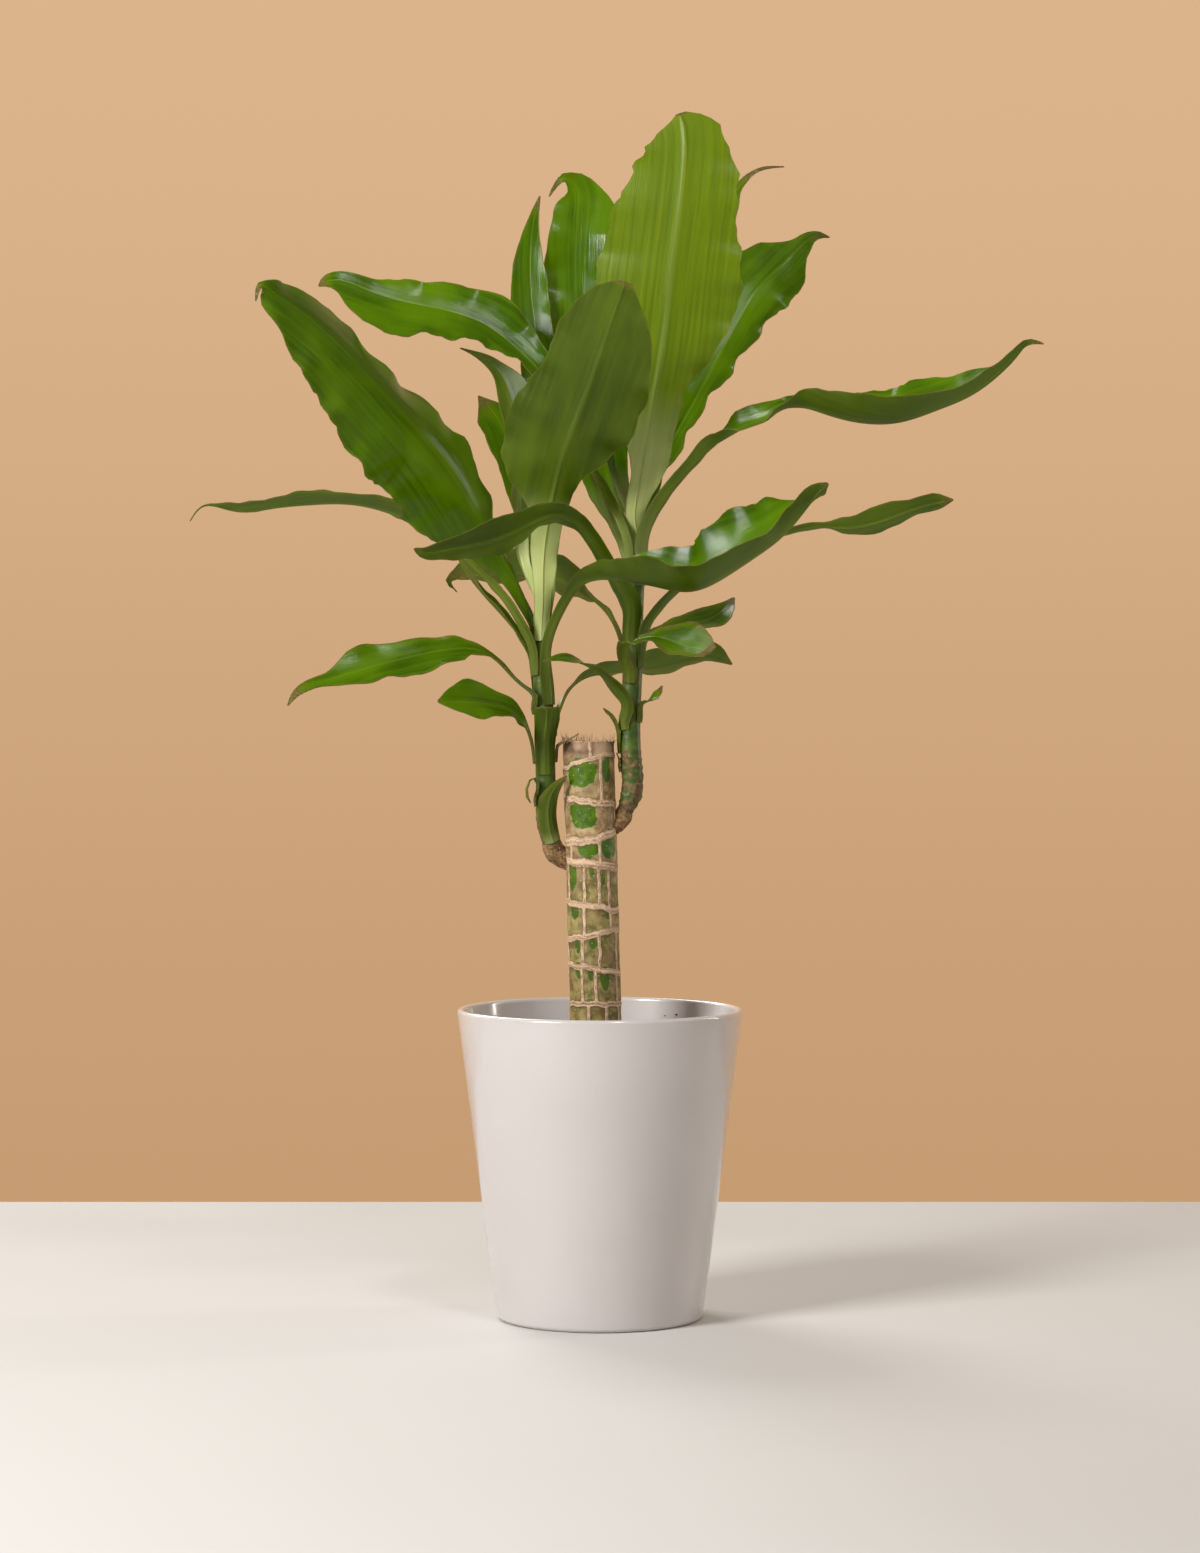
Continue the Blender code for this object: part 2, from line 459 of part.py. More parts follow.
def add_cane(shoots):
    """The cane with a callus under each shoot, cut back to clear the shoot that stands on it."""
    cane = cane_tube("cane", CANE_BOTTOM, CANE_TOP, CANE_DIAMETER / 2, BARK)
    for name, shoot in shoots.items():
        points, radii = shoot.read(SHOOT_STEPS)
        forward = unit(points[1] - points[0])
        end = points[0] - forward * GAP
        root = cane_axis(end[2] - CALLUS_DROP)
        neck = end - forward * radii[0]
        through = np.array([root, neck, end])
        knots = distances_along(through)
        along = np.linspace(0, knots[-1], CALLUS_STEPS + 1)
        widths = np.interp(along, knots[[0, -1]], [CALLUS_ROOT_DIAMETER / 2, radii[0]])
        shape = tube(spline(knots, through, along), widths, CALLUS_SIDES)
        callus = add_object(name + "_callus", *shape)
        combine(cane, callus, "UNION")
        points[0] = end
        seat = add_object(name + "_seat", *tube(points, radii + GAP, SHOOT_SIDES))
        combine(cane, seat, "DIFFERENCE")


def clasp_rows(shoot, base, clasp, turn, first_height):
    """Two stations that lay the leaf's base round its shoot."""
    bottom = shoot.foot[2] + base
    sheath = min(CLASP_LENGTH, CLASP_SHARE_OF_RISE * (first_height - bottom))
    away = math.radians(turn + 90)
    rows = []
    for rise, slack, share in zip((0.0, sheath), CLASP_SLACK, (CLASP_NARROWING, 1.0)):
        middle, radius = shoot.at_height(bottom + rise)
        out = radius + GAP + LEAF_THICKNESS / 2 + slack
        point = middle + out * np.array([math.cos(away), math.sin(away), 0.0])
        rows.append((*point, turn, clasp * share, clasp * share))
    radius = shoot.at_height(bottom)[1] + GAP + LEAF_THICKNESS / 2
    return rows, sheath, radius


def blade(shoot, base, clasp, turn, midrib, fold=USUAL_FOLD, curl=USUAL_CURL):
    """Grid of points over a leaf's middle surface: rows from base to tip, columns across."""
    stations = np.array(midrib, float)
    stations[:, [0, 1, 2, 4, 5]] *= MM
    stations[:, :3] += shoot.foot
    rows, sheath, hug = clasp_rows(shoot, base * MM, clasp * MM, turn, stations[0, 2])
    stations = np.concatenate([rows, stations])
    knots = distances_along(stations[:, :3])
    length = knots[-1]
    count = int(np.clip(round(length / LEAF_ROW_PITCH), LEAF_ROWS_LEAST, LEAF_ROWS_MOST))
    along = np.linspace(0, length, count)
    middle = spline(knots, stations[:, :3], along)
    ahead = spline(knots, stations[:, :3], np.minimum(along + FORWARD_STEP, length))
    behind = spline(knots, stations[:, :3], np.maximum(along - FORWARD_STEP, 0))
    forward = unit(ahead - behind)
    front = np.array([0.0, -1.0, 0.0])
    facing = unit(front - forward * (forward @ front)[:, None])
    roll = np.radians(eased(knots, stations[:, 3], along))[:, None]
    normal = np.cos(roll) * facing + np.sin(roll) * np.cross(forward, facing)
    right = np.cross(forward, normal)
    widths = [steady(knots, stations[:, column], along) for column in (4, 5)]
    left_width, right_width = np.maximum(widths, LEAST_HALF_WIDTH)
    hugging = 1 - smoothstep((along - sheath) / CLASP_FADE)
    flatness = TIP_FLATNESS + (1 - TIP_FLATNESS) * np.clip((length - along) / (TIP_SHARE * length), 0, 1)
    open_share = (1 - hugging) * flatness
    half = np.maximum(left_width, right_width)
    folds = math.radians(fold) * open_share
    curls = np.minimum(half / hug, CLASP_TURN_MOST) * hugging + math.radians(curl) * open_share
    grid = np.zeros((count, LEAF_COLUMNS, 3))
    for column, place in enumerate(np.linspace(-1, 1, LEAF_COLUMNS)):
        width = left_width if place < 0 else right_width
        out, rise = margin_path(abs(place), width, folds, curls)
        out = math.copysign(1, place) * out
        grid[:, column] = middle + out[:, None] * right + rise[:, None] * normal
    return grid


def margin_path(share, width, folds, curls):
    """How far out and up a leaf reaches at a share of its half width, for every row."""
    inner = (np.arange(ACROSS_STEPS) + 0.5) / ACROSS_STEPS * share
    slope = folds[:, None] * np.clip(CREASE_SHARPNESS * inner, 0, 1) + curls[:, None] * inner
    out = np.cos(slope).mean(axis=1) * share * width
    rise = np.sin(slope).mean(axis=1) * share * width
    return out, rise


def sheet(grid):
    """Vertices and faces of a closed sheet, LEAF_THICKNESS thick, about a grid of points."""
    rows, columns, _ = grid.shape
    normal = unit(np.cross(np.gradient(grid, axis=0), np.gradient(grid, axis=1)))
    upper = grid + normal * LEAF_THICKNESS / 2
    lower = grid - normal * LEAF_THICKNESS / 2
    vertices = np.concatenate([upper.reshape(-1, 3), lower.reshape(-1, 3)])
    under = rows * columns
    index = np.arange(under).reshape(rows, columns)
    faces = []
    for i in range(rows - 1):
        for j in range(columns - 1):
            a, b = index[i, j], index[i, j + 1]
            c, d = index[i + 1, j + 1], index[i + 1, j]
            faces += [(a, d, c), (a, c, b)]
            faces += [(a + under, c + under, d + under), (a + under, b + under, c + under)]
    rim = [*index[0], *index[1:, -1], *index[-1, -2::-1], *index[-2:0:-1, 0]]
    for a, b in zip(rim, rim[1:] + rim[:1]):
        faces += [(a, b, b + under), (a, b + under, a + under)]
    return vertices, [tuple(int(i) for i in face) for face in faces]


def add_shoot(name, shoot, leaves):
    """A shoot's stem and every leaf and bract on it."""
    points, radii = shoot.read(SHOOT_STEPS)
    add_object(name, *tube(points, radii, SHOOT_SIDES), SHOOT_GREEN)
    for leaf in leaves:
        shape = {key: value for key, value in leaf.items() if key != "name"}
        add_object(leaf["name"], *sheet(blade(shoot, **shape)), LEAF_GREEN)


remove_all_objects()
left_shoot = Shoot(shoot_foot(-1, LEFT_FOOT_REACH, LEFT_FOOT_DROP), LEFT_SHOOT)
right_shoot = Shoot(shoot_foot(1, RIGHT_FOOT_REACH, RIGHT_FOOT_DROP), RIGHT_SHOOT)
add_pot()
add_mix()
add_cane({"left": left_shoot, "right": right_shoot})
add_shoot("left_shoot_stem", left_shoot, LEFT_LEAVES)
add_shoot("right_shoot_stem", right_shoot, RIGHT_LEAVES)
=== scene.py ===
# %% [markdown]
# A potted corn plant, dressed for its picture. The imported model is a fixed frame: it says where
# the pot, the cane and every leaf are, and none of that moves here. This lesson builds the fine
# surfaces over it, piece by piece, and gives each one a procedural finish.

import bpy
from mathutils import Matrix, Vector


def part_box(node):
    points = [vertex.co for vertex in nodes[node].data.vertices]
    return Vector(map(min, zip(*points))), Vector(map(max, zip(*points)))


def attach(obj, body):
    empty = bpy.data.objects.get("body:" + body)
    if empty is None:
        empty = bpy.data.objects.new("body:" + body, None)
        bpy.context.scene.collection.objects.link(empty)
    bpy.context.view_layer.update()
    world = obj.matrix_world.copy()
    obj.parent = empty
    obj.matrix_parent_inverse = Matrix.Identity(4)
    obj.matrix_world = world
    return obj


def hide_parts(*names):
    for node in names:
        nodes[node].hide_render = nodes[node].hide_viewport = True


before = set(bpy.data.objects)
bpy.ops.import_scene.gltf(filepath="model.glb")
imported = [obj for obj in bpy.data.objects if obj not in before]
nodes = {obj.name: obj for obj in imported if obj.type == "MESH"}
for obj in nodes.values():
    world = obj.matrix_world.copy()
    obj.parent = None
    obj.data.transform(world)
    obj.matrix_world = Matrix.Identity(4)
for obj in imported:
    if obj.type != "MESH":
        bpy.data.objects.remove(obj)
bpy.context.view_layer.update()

# %% [markdown]
# Blender's own modules come next. numpy does the sums on whole rows of points at once.
# mathutils.noise gives the same smooth random numbers on every run, and each of numpy's random
# generators starts from a fixed seed, so the scene comes out the same every time.

# %% Modules and units
import math

import bmesh
import bpy
import numpy as np
from mathutils import Vector, noise

MM = 0.001
GAP = 0.0003
pot_low, pot_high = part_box("planter")
mix_low, mix_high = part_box("potting_mix")
cane_low, cane_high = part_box("cane")
print("rim height %.4f m, mouth %.4f m" % (pot_high.z, pot_high.x - pot_low.x))

# %% [markdown]
# Every piece ends the same way: a mesh from points and faces, smooth shading, a material, and a
# place in the frame. Two helpers do all of that, so each later cell can be about shape alone.
# The small helpers after them serve many shapes.


# %% Helpers that add a piece
def new_object(name, points, faces, material):
    mesh = bpy.data.meshes.new(name)
    mesh.from_pydata([tuple(p) for p in points], [], faces)
    mesh.materials.append(material)
    mesh.shade_smooth()
    item = bpy.data.objects.new(name, mesh)
    bpy.context.scene.collection.objects.link(item)
    return item


def add_piece(name, points, faces, material, node, slot, sharp):
    """Edges sharper than the given angle, in degrees, stay sharp."""
    piece = new_object(name, points, faces, material)
    piece.data.set_sharp_from_angle(angle=math.radians(sharp))
    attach(piece, "root")
    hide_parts(node)
    return piece


def add_numbers(piece, name, rows):
    """Stores three numbers on each point, which a material reads by name."""
    numbers = piece.data.attributes.new(name, "FLOAT_VECTOR", "POINT")
    numbers.data.foreach_set("vector", np.asarray(rows, np.float32).ravel())


def band(first, second, count):
    """Faces between two rings of points, from the numbers of their first points."""
    pairs = [(i, (i + 1) % count) for i in range(count)]
    return [(first + i, first + j, second + j, second + i) for i, j in pairs]


def outwards(angle):
    """Level direction at an angle round from the front, to the right."""
    return np.array([math.sin(angle), -math.cos(angle), 0.0])


def unit(vectors):
    """The same directions with a length of one."""
    return vectors / np.linalg.norm(vectors, axis=-1, keepdims=True)


print("helpers are ready")


# %% [markdown]
# Materials are sums. A Signal is one number or vector that flows out of a shader node, and
# Python's operators add Math nodes to it, so that a line such as 1 - dry * 0.5 reads as it would
# on paper. Paint owns the material, and its one node method makes every other kind of node: the
# settings go in first, because some of them change which sockets a node has.


# %% Signals and paint
class Signal:
    def __init__(self, paint, socket):
        self.paint = paint
        self.socket = socket

    def math(self, operation, *others):
        sockets = dict(enumerate((self, *others)))
        return self.paint.node("ShaderNodeMath", {"operation": operation}, sockets)

    def __add__(self, other):
        return self.math("ADD", other)

    def __sub__(self, other):
        return self.math("SUBTRACT", other)

    def __mul__(self, other):
        return self.math("MULTIPLY", other)

    def __rsub__(self, other):
        return self.paint.node("ShaderNodeMath", {"operation": "SUBTRACT"}, {0: other, 1: self})

    def size(self):
        return self.math("ABSOLUTE")

    def at_most(self, other):
        return self.math("MINIMUM", other)

    def at_least(self, other):
        return self.math("MAXIMUM", other)

    def step(self, low, high):
        """Eases from 0 to 1 as this number goes from low to high, or back if low is higher."""
        spread = {"interpolation_type": "SMOOTHSTEP"}
        if isinstance(low, (int, float)) and isinstance(high, (int, float)) and low > high:
            return 1 - self.step(high, low)
        return self.paint.node("ShaderNodeMapRange", spread, {0: self, 1: low, 2: high})


class Paint:
    """A Principled material that is being put together."""

    def __init__(self, name, **constants):
        self.material = bpy.data.materials.new(name)
        self.material.use_nodes = True
        self.tree = self.material.node_tree
        self.shader = self.tree.nodes["Principled BSDF"]
        for socket, value in constants.items():
            self.shader.inputs[socket.replace("_", " ")].default_value = value

    def join(self, value, socket):
        if isinstance(value, Signal):
            self.tree.links.new(value.socket, socket)
        elif hasattr(socket.default_value, "__len__") and len(value) < len(socket.default_value):
            socket.default_value = (*value, 1.0)
        else:
            socket.default_value = value

    def node(self, kind, settings=None, sockets=None, out=0):
        node = self.tree.nodes.new(kind)
        for name, value in (settings or {}).items():
            setattr(node, name, value)
        for name, value in (sockets or {}).items():
            self.join(value, node.inputs[name])
        return Signal(self, node.outputs[out])

    def split(self, vector):
        """The three numbers of a vector, each as a Signal."""
        parts = self.node("ShaderNodeSeparateXYZ", None, {0: vector}).socket.node
        return [Signal(self, output) for output in parts.outputs]

    def numbers(self, name):
        """The three numbers that a piece stores under a name."""
        return self.split(self.node("ShaderNodeAttribute", {"attribute_name": name}, out=1))

    def vector(self, x, y, z):
        return self.node("ShaderNodeCombineXYZ", None, {0: x, 1: y, 2: z})

    def clouds(self, vector, scale, detail=3.0, roughness=0.5):
        """Noise from 0 to 1 that is about a half on average."""
        sockets = {"Vector": vector, "Scale": scale, "Detail": detail, "Roughness": roughness}
        return self.node("ShaderNodeTexNoise", None, sockets)

    def mix(self, share, first, second):
        """A colour on the way from the first to the second."""
        sockets = {0: share, 6: first, 7: second}
        return self.node("ShaderNodeMix", {"data_type": "RGBA"}, sockets, out=2)

    def bump(self, height, distance, strength=1.0):
        sockets = {"Height": height, "Distance": distance, "Strength": strength}
        return self.node("ShaderNodeBump", None, sockets)

    def done(self, **links):
        """Joins what varies to the Principled node and returns the material."""
        for socket, value in links.items():
            self.join(value, self.shader.inputs[socket.replace("_", " ")])
        return self.material


def place(paint):
    """Where a point is, in the object's own metres."""
    return paint.node("ShaderNodeTexCoord", out=3)


print("paint is ready")

# %% [markdown]
# The stage is a pale table top inside a plain round curtain, warm behind the plant. Light comes
# from the upper left, a little in front, as from a window: one big soft lamp makes the long
# gleams on glaze and leaves and the long soft shadow. A weaker one fills the shade from the
# right, a narrow one at the right and a small one overhead draw thin gleams, and one behind
# shines through the upright leaves.

# %% Floor, backdrop and lamps
FLOOR_FRONT, FLOOR_BACK, FLOOR_SIDE = -3.5, 0.496, 4.0
FLOOR_COLOUR = (0.56, 0.555, 0.545)
BACKDROP_RADIUS = 6.0
BACKDROP_SIDES = 96
BACKDROP_HEIGHTS = (-3.0, 5.0)
BACKDROP_COLOURS = ((0.555, 0.330, 0.168), (0.71, 0.455, 0.262))
BACKDROP_FRONT_COLOUR = (0.25, 0.205, 0.165)
SKY_COLOUR = (0.92, 0.78, 0.64)
SKY_STRENGTH = 0.18
PLANT_MIDDLE = Vector((0.0, 0.0, 0.36))
LAMPS = [
    # name, place, power in watts, width and height in metres, colour
    ("window", (-1.35, -1.30, 1.25), 49, (0.6, 0.75), (1.0, 0.98, 0.96)),
    ("gleam", (0.40, -1.15, 1.85), 8, (0.30, 0.30), (1.0, 0.98, 0.95)),
    ("fill", (1.7, -1.7, 0.8), 2, (1.2, 1.2), (1.0, 0.95, 0.90)),
    ("edge", (1.55, 0.45, 0.75), 6, (0.12, 1.1), (1.0, 0.93, 0.84)),
    ("back", (-0.7, 1.2, 1.3), 17, (0.8, 0.8), (1.0, 0.98, 0.95)),
]


def add_floor():
    paint = Paint("floor_paint", Roughness=0.75)
    tone = paint.clouds(place(paint), 3.0)
    lighter = tuple(c * 1.03 for c in FLOOR_COLOUR)
    material = paint.done(Base_Color=paint.mix(tone, FLOOR_COLOUR, lighter))
    x, front, back = FLOOR_SIDE, FLOOR_FRONT, FLOOR_BACK
    corners = [(-x, front, 0), (x, front, 0), (x, back, 0), (-x, back, 0)]
    new_object("floor", corners, [(0, 1, 2, 3)], material)


def add_backdrop():
    """A round curtain that glows a little: warm behind the plant, pale grey in front of it."""
    black = (0.0, 0.0, 0.0, 1.0)
    paint = Paint("backdrop_paint", Base_Color=black, Emission_Strength=1.0, Specular_IOR_Level=0.0)
    _, back, height = paint.split(place(paint))
    warm = paint.mix(height.step(-1.0, 1.8), *BACKDROP_COLOURS)
    glow = paint.mix(back.step(1.0, 4.6), BACKDROP_FRONT_COLOUR, warm)
    angles = [i * 2 * math.pi / BACKDROP_SIDES for i in range(BACKDROP_SIDES)]
    ring = [(BACKDROP_RADIUS * math.cos(a), BACKDROP_RADIUS * math.sin(a)) for a in angles]
    points = [(x, y, z) for z in BACKDROP_HEIGHTS for x, y in ring]
    faces = band(0, BACKDROP_SIDES, BACKDROP_SIDES)
    new_object("backdrop", points, faces, paint.done(Emission_Color=glow))


def add_lamp(name, spot, power, size, colour):
    lamp = bpy.data.lights.new(name, "AREA")
    lamp.shape = "RECTANGLE"
    lamp.size, lamp.size_y = size
    lamp.energy = power
    lamp.color = colour
    item = bpy.data.objects.new(name, lamp)
    item.location = spot
    item.rotation_euler = (PLANT_MIDDLE - Vector(spot)).to_track_quat("-Z", "Y").to_euler()
    bpy.context.scene.collection.objects.link(item)


add_floor()
add_backdrop()
for lamp in LAMPS:
    add_lamp(*lamp)
sky = bpy.data.worlds.new("sky")
sky.use_nodes = True
sky.node_tree.nodes["Background"].inputs["Color"].default_value = (*SKY_COLOUR, 1.0)
sky.node_tree.nodes["Background"].inputs["Strength"].default_value = SKY_STRENGTH
bpy.context.scene.world = sky
bpy.context.scene.view_settings.view_transform = "Standard"
print("lamps:", [lamp[0] for lamp in LAMPS])

# %% [markdown]
# The camera stands 2.3 m away at about the height of the shoots and looks down very slightly.
# A long lens keeps the pot's sides nearly straight, as a product picture does.

# %% Camera
CAMERA_PLACE = (0.0, -2.294, 0.3732)
CAMERA_PITCH_DOWN = 0.027
LENS_MM = 92.7
SENSOR_MM = 36.0


def add_camera():
    lens = bpy.data.cameras.new("camera")
    lens.lens = LENS_MM
    lens.sensor_width = SENSOR_MM
    camera = bpy.data.objects.new("camera", lens)
    camera.location = CAMERA_PLACE
    camera.rotation_euler = (math.pi / 2 - CAMERA_PITCH_DOWN, 0.0, 0.0)
    bpy.context.scene.collection.objects.link(camera)
    bpy.context.scene.camera = camera


add_camera()
print("camera at", CAMERA_PLACE)

# %% [markdown]
# The pot is turned ware, so its surface is one profile spun about the upright axis. The profile
# has few points: a flat foot with a soft corner, a straight side, a round lip, and the inside.
# Spinning it in 160 steps makes the lip's gleam smooth. Its glaze is pale warm grey; a thin coat
# gives the gleam, while faint clouds and pinholes keep it from looking like plastic.

# %% Turned shapes
def arc(centre, radius, start, end, steps=8):
    angles = np.radians(np.linspace(start, end, steps + 1))
    return [(centre[0] + radius * math.cos(a), centre[1] + radius * math.sin(a)) for a in angles]


def turned(profile, sides):
    """Points and faces of a profile of (radius, height), from axis to axis, spun about Z."""
    profile = np.array(profile)
    angles = np.arange(sides) * 2 * math.pi / sides
    rings = profile[1:-1]
    points = [(r * math.cos(a), r * math.sin(a), z) for r, z in rings for a in angles]
    points += [(0, 0, profile[0][1]), (0, 0, profile[-1][1])]
    foot, crown = len(points) - 2, len(points) - 1
    faces = []
    for ring in range(len(rings) - 1):
        faces += band(ring * sides, (ring + 1) * sides, sides)
    last = (len(rings) - 1) * sides
    for i in range(sides):
        faces.append((foot, (i + 1) % sides, i))
        faces.append((crown, last + i, last + (i + 1) % sides))
    return points, faces


# %% Pot and glaze
POT_WALL = 0.004
POT_FLOOR = 0.006
POT_FOOT_RADIUS = 0.0592
FOOT_ROUNDING = 0.003
POT_SIDES = 160
MOUTH_RADIUS = (pot_high.x - pot_low.x) / 2
RIM = pot_high.z
POT_SLOPE = (MOUTH_RADIUS - POT_FOOT_RADIUS) / RIM


def outer_radius(height):
    return POT_FOOT_RADIUS + POT_SLOPE * height


def inner_radius(height):
    return outer_radius(height) - POT_WALL


def glaze():
    paint = Paint("glaze", Roughness=0.2, Specular_IOR_Level=0.5, Coat_Weight=0.7, Coat_Roughness=0.06)
    spot = place(paint)
    height = paint.split(spot)[2]
    cloud = paint.clouds(spot, 22.0, 2.0)
    speck = paint.clouds(spot, 900.0, 1.0).step(0.74, 0.80)
    body = paint.mix(cloud, (0.525, 0.495, 0.490), (0.575, 0.545, 0.540))
    body = paint.mix(speck * 0.25, body, (0.36, 0.31, 0.27))
    bare = height.step(0.0012, 0.0004)
    ripple = paint.clouds(spot, 60.0, 2.0)
    return paint.done(
        Base_Color=paint.mix(bare, body, (0.50, 0.42, 0.34)),
        Roughness=cloud * 0.08 + 0.17 + bare * 0.6,
        Normal=paint.bump(ripple, 0.0004, 0.35))


def add_pot():
    lip = POT_WALL / 2
    top = RIM - lip
    floor_radius = inner_radius(POT_FLOOR)
    profile = [(0, 0), (POT_FOOT_RADIUS * 0.6, 0)]
    profile += arc((outer_radius(FOOT_ROUNDING) - FOOT_ROUNDING, FOOT_ROUNDING), FOOT_ROUNDING, -90, 0)
    profile += [(outer_radius(top * share), top * share) for share in (0.25, 0.5, 0.75)]
    profile += arc((outer_radius(top) - lip, top), lip, 0, 180, 12)
    profile += [(inner_radius(top * share), top * share) for share in (0.75, 0.5, 0.25)]
    profile += arc((floor_radius - FOOT_ROUNDING, POT_FLOOR + FOOT_ROUNDING), FOOT_ROUNDING, 0, -90, 4)
    profile += [(0, POT_FLOOR)]
    points, faces = turned(profile, POT_SIDES)
    return add_piece("pot", points, faces, glaze(), "planter", "glaze", sharp=80)


pot = add_pot()
print("pot:", len(pot.data.polygons), "faces")

# %% [markdown]
# Potting mix is peat, bark chips and a little grit. From the side the rim hides it, but from
# above it is what the cane stands in. A lumpy sheet makes the bed, sunk a little at the cane,
# and a few hundred small angular chips lie on it. A chip is a squashed eight-sided lump with
# its points pushed about, so no two match. A few damp crumbs also cling inside the back wall.

# %% Bed of potting mix
MIX_TOP = mix_high.z
MIX_RADIUS = inner_radius(MIX_TOP) - GAP
BED_RINGS = 44
BED_SIDES = 132
CANE_RADIUS = 0.015
CANE_OFFSET_AT_RIM = -0.0026
CANE_LEAN = -0.027
LUMP_HEIGHT = 0.0022


def cane_axis(height):
    """Point on the cane's leaning axis."""
    return np.array([CANE_OFFSET_AT_RIM + CANE_LEAN * (height - RIM), 0.0, height])


def bed_height(x, y):
    coarse = noise.noise(Vector((x * 70, y * 70, 2.0)))
    fine = noise.noise(Vector((x * 330, y * 330, 5.0)))
    return MIX_TOP + LUMP_HEIGHT * (0.8 * coarse + 0.35 * fine - 0.5)


def mix_paint(name, dark, light):
    paint = Paint(name, Roughness=0.95, Specular_IOR_Level=0.25)
    spot = place(paint)
    coarse = paint.clouds(spot, 160.0, 4.0, 0.6)
    fine = paint.clouds(spot, 900.0, 3.0, 0.7)
    shade = (coarse * 0.6 + fine * 0.4).step(0.35, 0.65)
    return paint.done(Base_Color=paint.mix(shade, dark, light), Normal=paint.bump(fine, 0.0006))


def add_bed():
    bottom = mix_low.z
    profile = [(0, bottom), (inner_radius(bottom) - GAP, bottom), (MIX_RADIUS, MIX_TOP - LUMP_HEIGHT)]
    profile += [(MIX_RADIUS * (1 - ring / BED_RINGS), MIX_TOP) for ring in range(BED_RINGS)]
    profile += [(0, MIX_TOP)]
    points, faces = turned(profile, BED_SIDES)
    lifted = []
    for x, y, z in points:
        top = z >= MIX_TOP
        edge = math.hypot(x, y) / MIX_RADIUS
        z = bed_height(x, y) - LUMP_HEIGHT * 0.5 * edge ** 8 if top else z
        lifted.append((x, y, z))
    paint = mix_paint("peat", (0.018, 0.011, 0.007), (0.075, 0.048, 0.030))
    return add_piece("mix_bed", lifted, faces, paint, "potting_mix", "potting_mix", sharp=180)


bed = add_bed()
print("bed of mix:", len(bed.data.polygons), "faces")

# %% Chips and crumbs
CHIP_SHARPNESS = 30
CRUMB_COUNT = 420
CHIP_COUNT = CRUMB_COUNT // 4
WALL_CRUMBS = [
    # degrees round from the front, to the right; depth below the rim; size, in millimetres
    (141, 12, 1.5), (144, 9, 1.1), (147, 13, 1.7), (137, 14, 1.0), (150, 10, 0.8), (152, 15, 1.3),
    (164, 16, 1.2), (172, 13, 0.7), (-150, 15, 1.1), (-140, 12, 0.7), (131, 16, 0.9), (-165, 17, 1.2)]


def chip(rng, size):
    """An uneven lump: a stretched octahedron, subdivided once and pushed about."""
    bm = bmesh.new()
    bmesh.ops.create_icosphere(bm, subdivisions=1, radius=1.0)
    stretch = np.array([1.0, rng.uniform(0.45, 0.9), rng.uniform(0.25, 0.6)]) * size
    points = np.array([v.co for v in bm.verts]) * rng.uniform(0.75, 1.2, (len(bm.verts), 1)) * stretch
    faces = [[v.index for v in f.verts] for f in bm.faces]
    bm.free()
    turn, tip = rng.uniform(0, 2 * math.pi), rng.uniform(-0.5, 0.5)
    c, s = math.cos(turn), math.sin(turn)
    lean = np.array([[1, 0, 0], [0, math.cos(tip), -math.sin(tip)], [0, math.sin(tip), math.cos(tip)]])
    return points @ lean.T @ np.array([[c, s, 0], [-s, c, 0], [0, 0, 1]]), faces


def scatter(name, material, count, seed, sizes):
    rng = np.random.default_rng(seed)
    points, faces = [], []
    while count:
        radius = MIX_RADIUS * math.sqrt(rng.uniform(0.0, 0.93))
        angle = rng.uniform(0, 2 * math.pi)
        x, y = radius * math.cos(angle), radius * math.sin(angle)
        size = rng.uniform(*sizes)
        if math.hypot(x - cane_axis(MIX_TOP)[0], y) < CANE_RADIUS + size:
            continue
        shape, sides = chip(rng, size)
        start = len(points)
        points += [tuple(p + (x, y, bed_height(x, y) + size * 0.15)) for p in shape]
        faces += [[start + i for i in side] for side in sides]
        count -= 1
    add_piece(name, points, faces, material, "potting_mix", "potting_mix", sharp=CHIP_SHARPNESS)


bark_chips = mix_paint("bark_chip", (0.05, 0.028, 0.015), (0.17, 0.10, 0.055))
peat_crumbs = mix_paint("peat_crumb", (0.014, 0.009, 0.006), (0.055, 0.035, 0.022))
scatter("bark_chips", bark_chips, CHIP_COUNT, 3, (0.0020, 0.0042))
scatter("peat_crumbs", peat_crumbs, CRUMB_COUNT, 4, (0.0008, 0.0020))


def add_wall_crumbs():
    """Damp crumbs that cling to the inside of the back wall, above the mix."""
    rng = np.random.default_rng(8)
    points, faces = [], []
    for degrees, drop, size in WALL_CRUMBS:
        shape, sides = chip(rng, size * MM)
        start = len(points)
        middle = outwards(math.radians(degrees)) * (inner_radius(RIM - drop * MM) - 0.4 * size * MM)
        points += [tuple(p + middle + (0, 0, RIM - drop * MM)) for p in shape]
        faces += [[start + i for i in side] for side in sides]
    add_piece("wall_crumbs", points, faces, peat_crumbs, "potting_mix", "potting_mix", sharp=CHIP_SHARPNESS)


add_wall_crumbs()
print("chips and crumbs:", CHIP_COUNT + CRUMB_COUNT + len(WALL_CRUMBS))
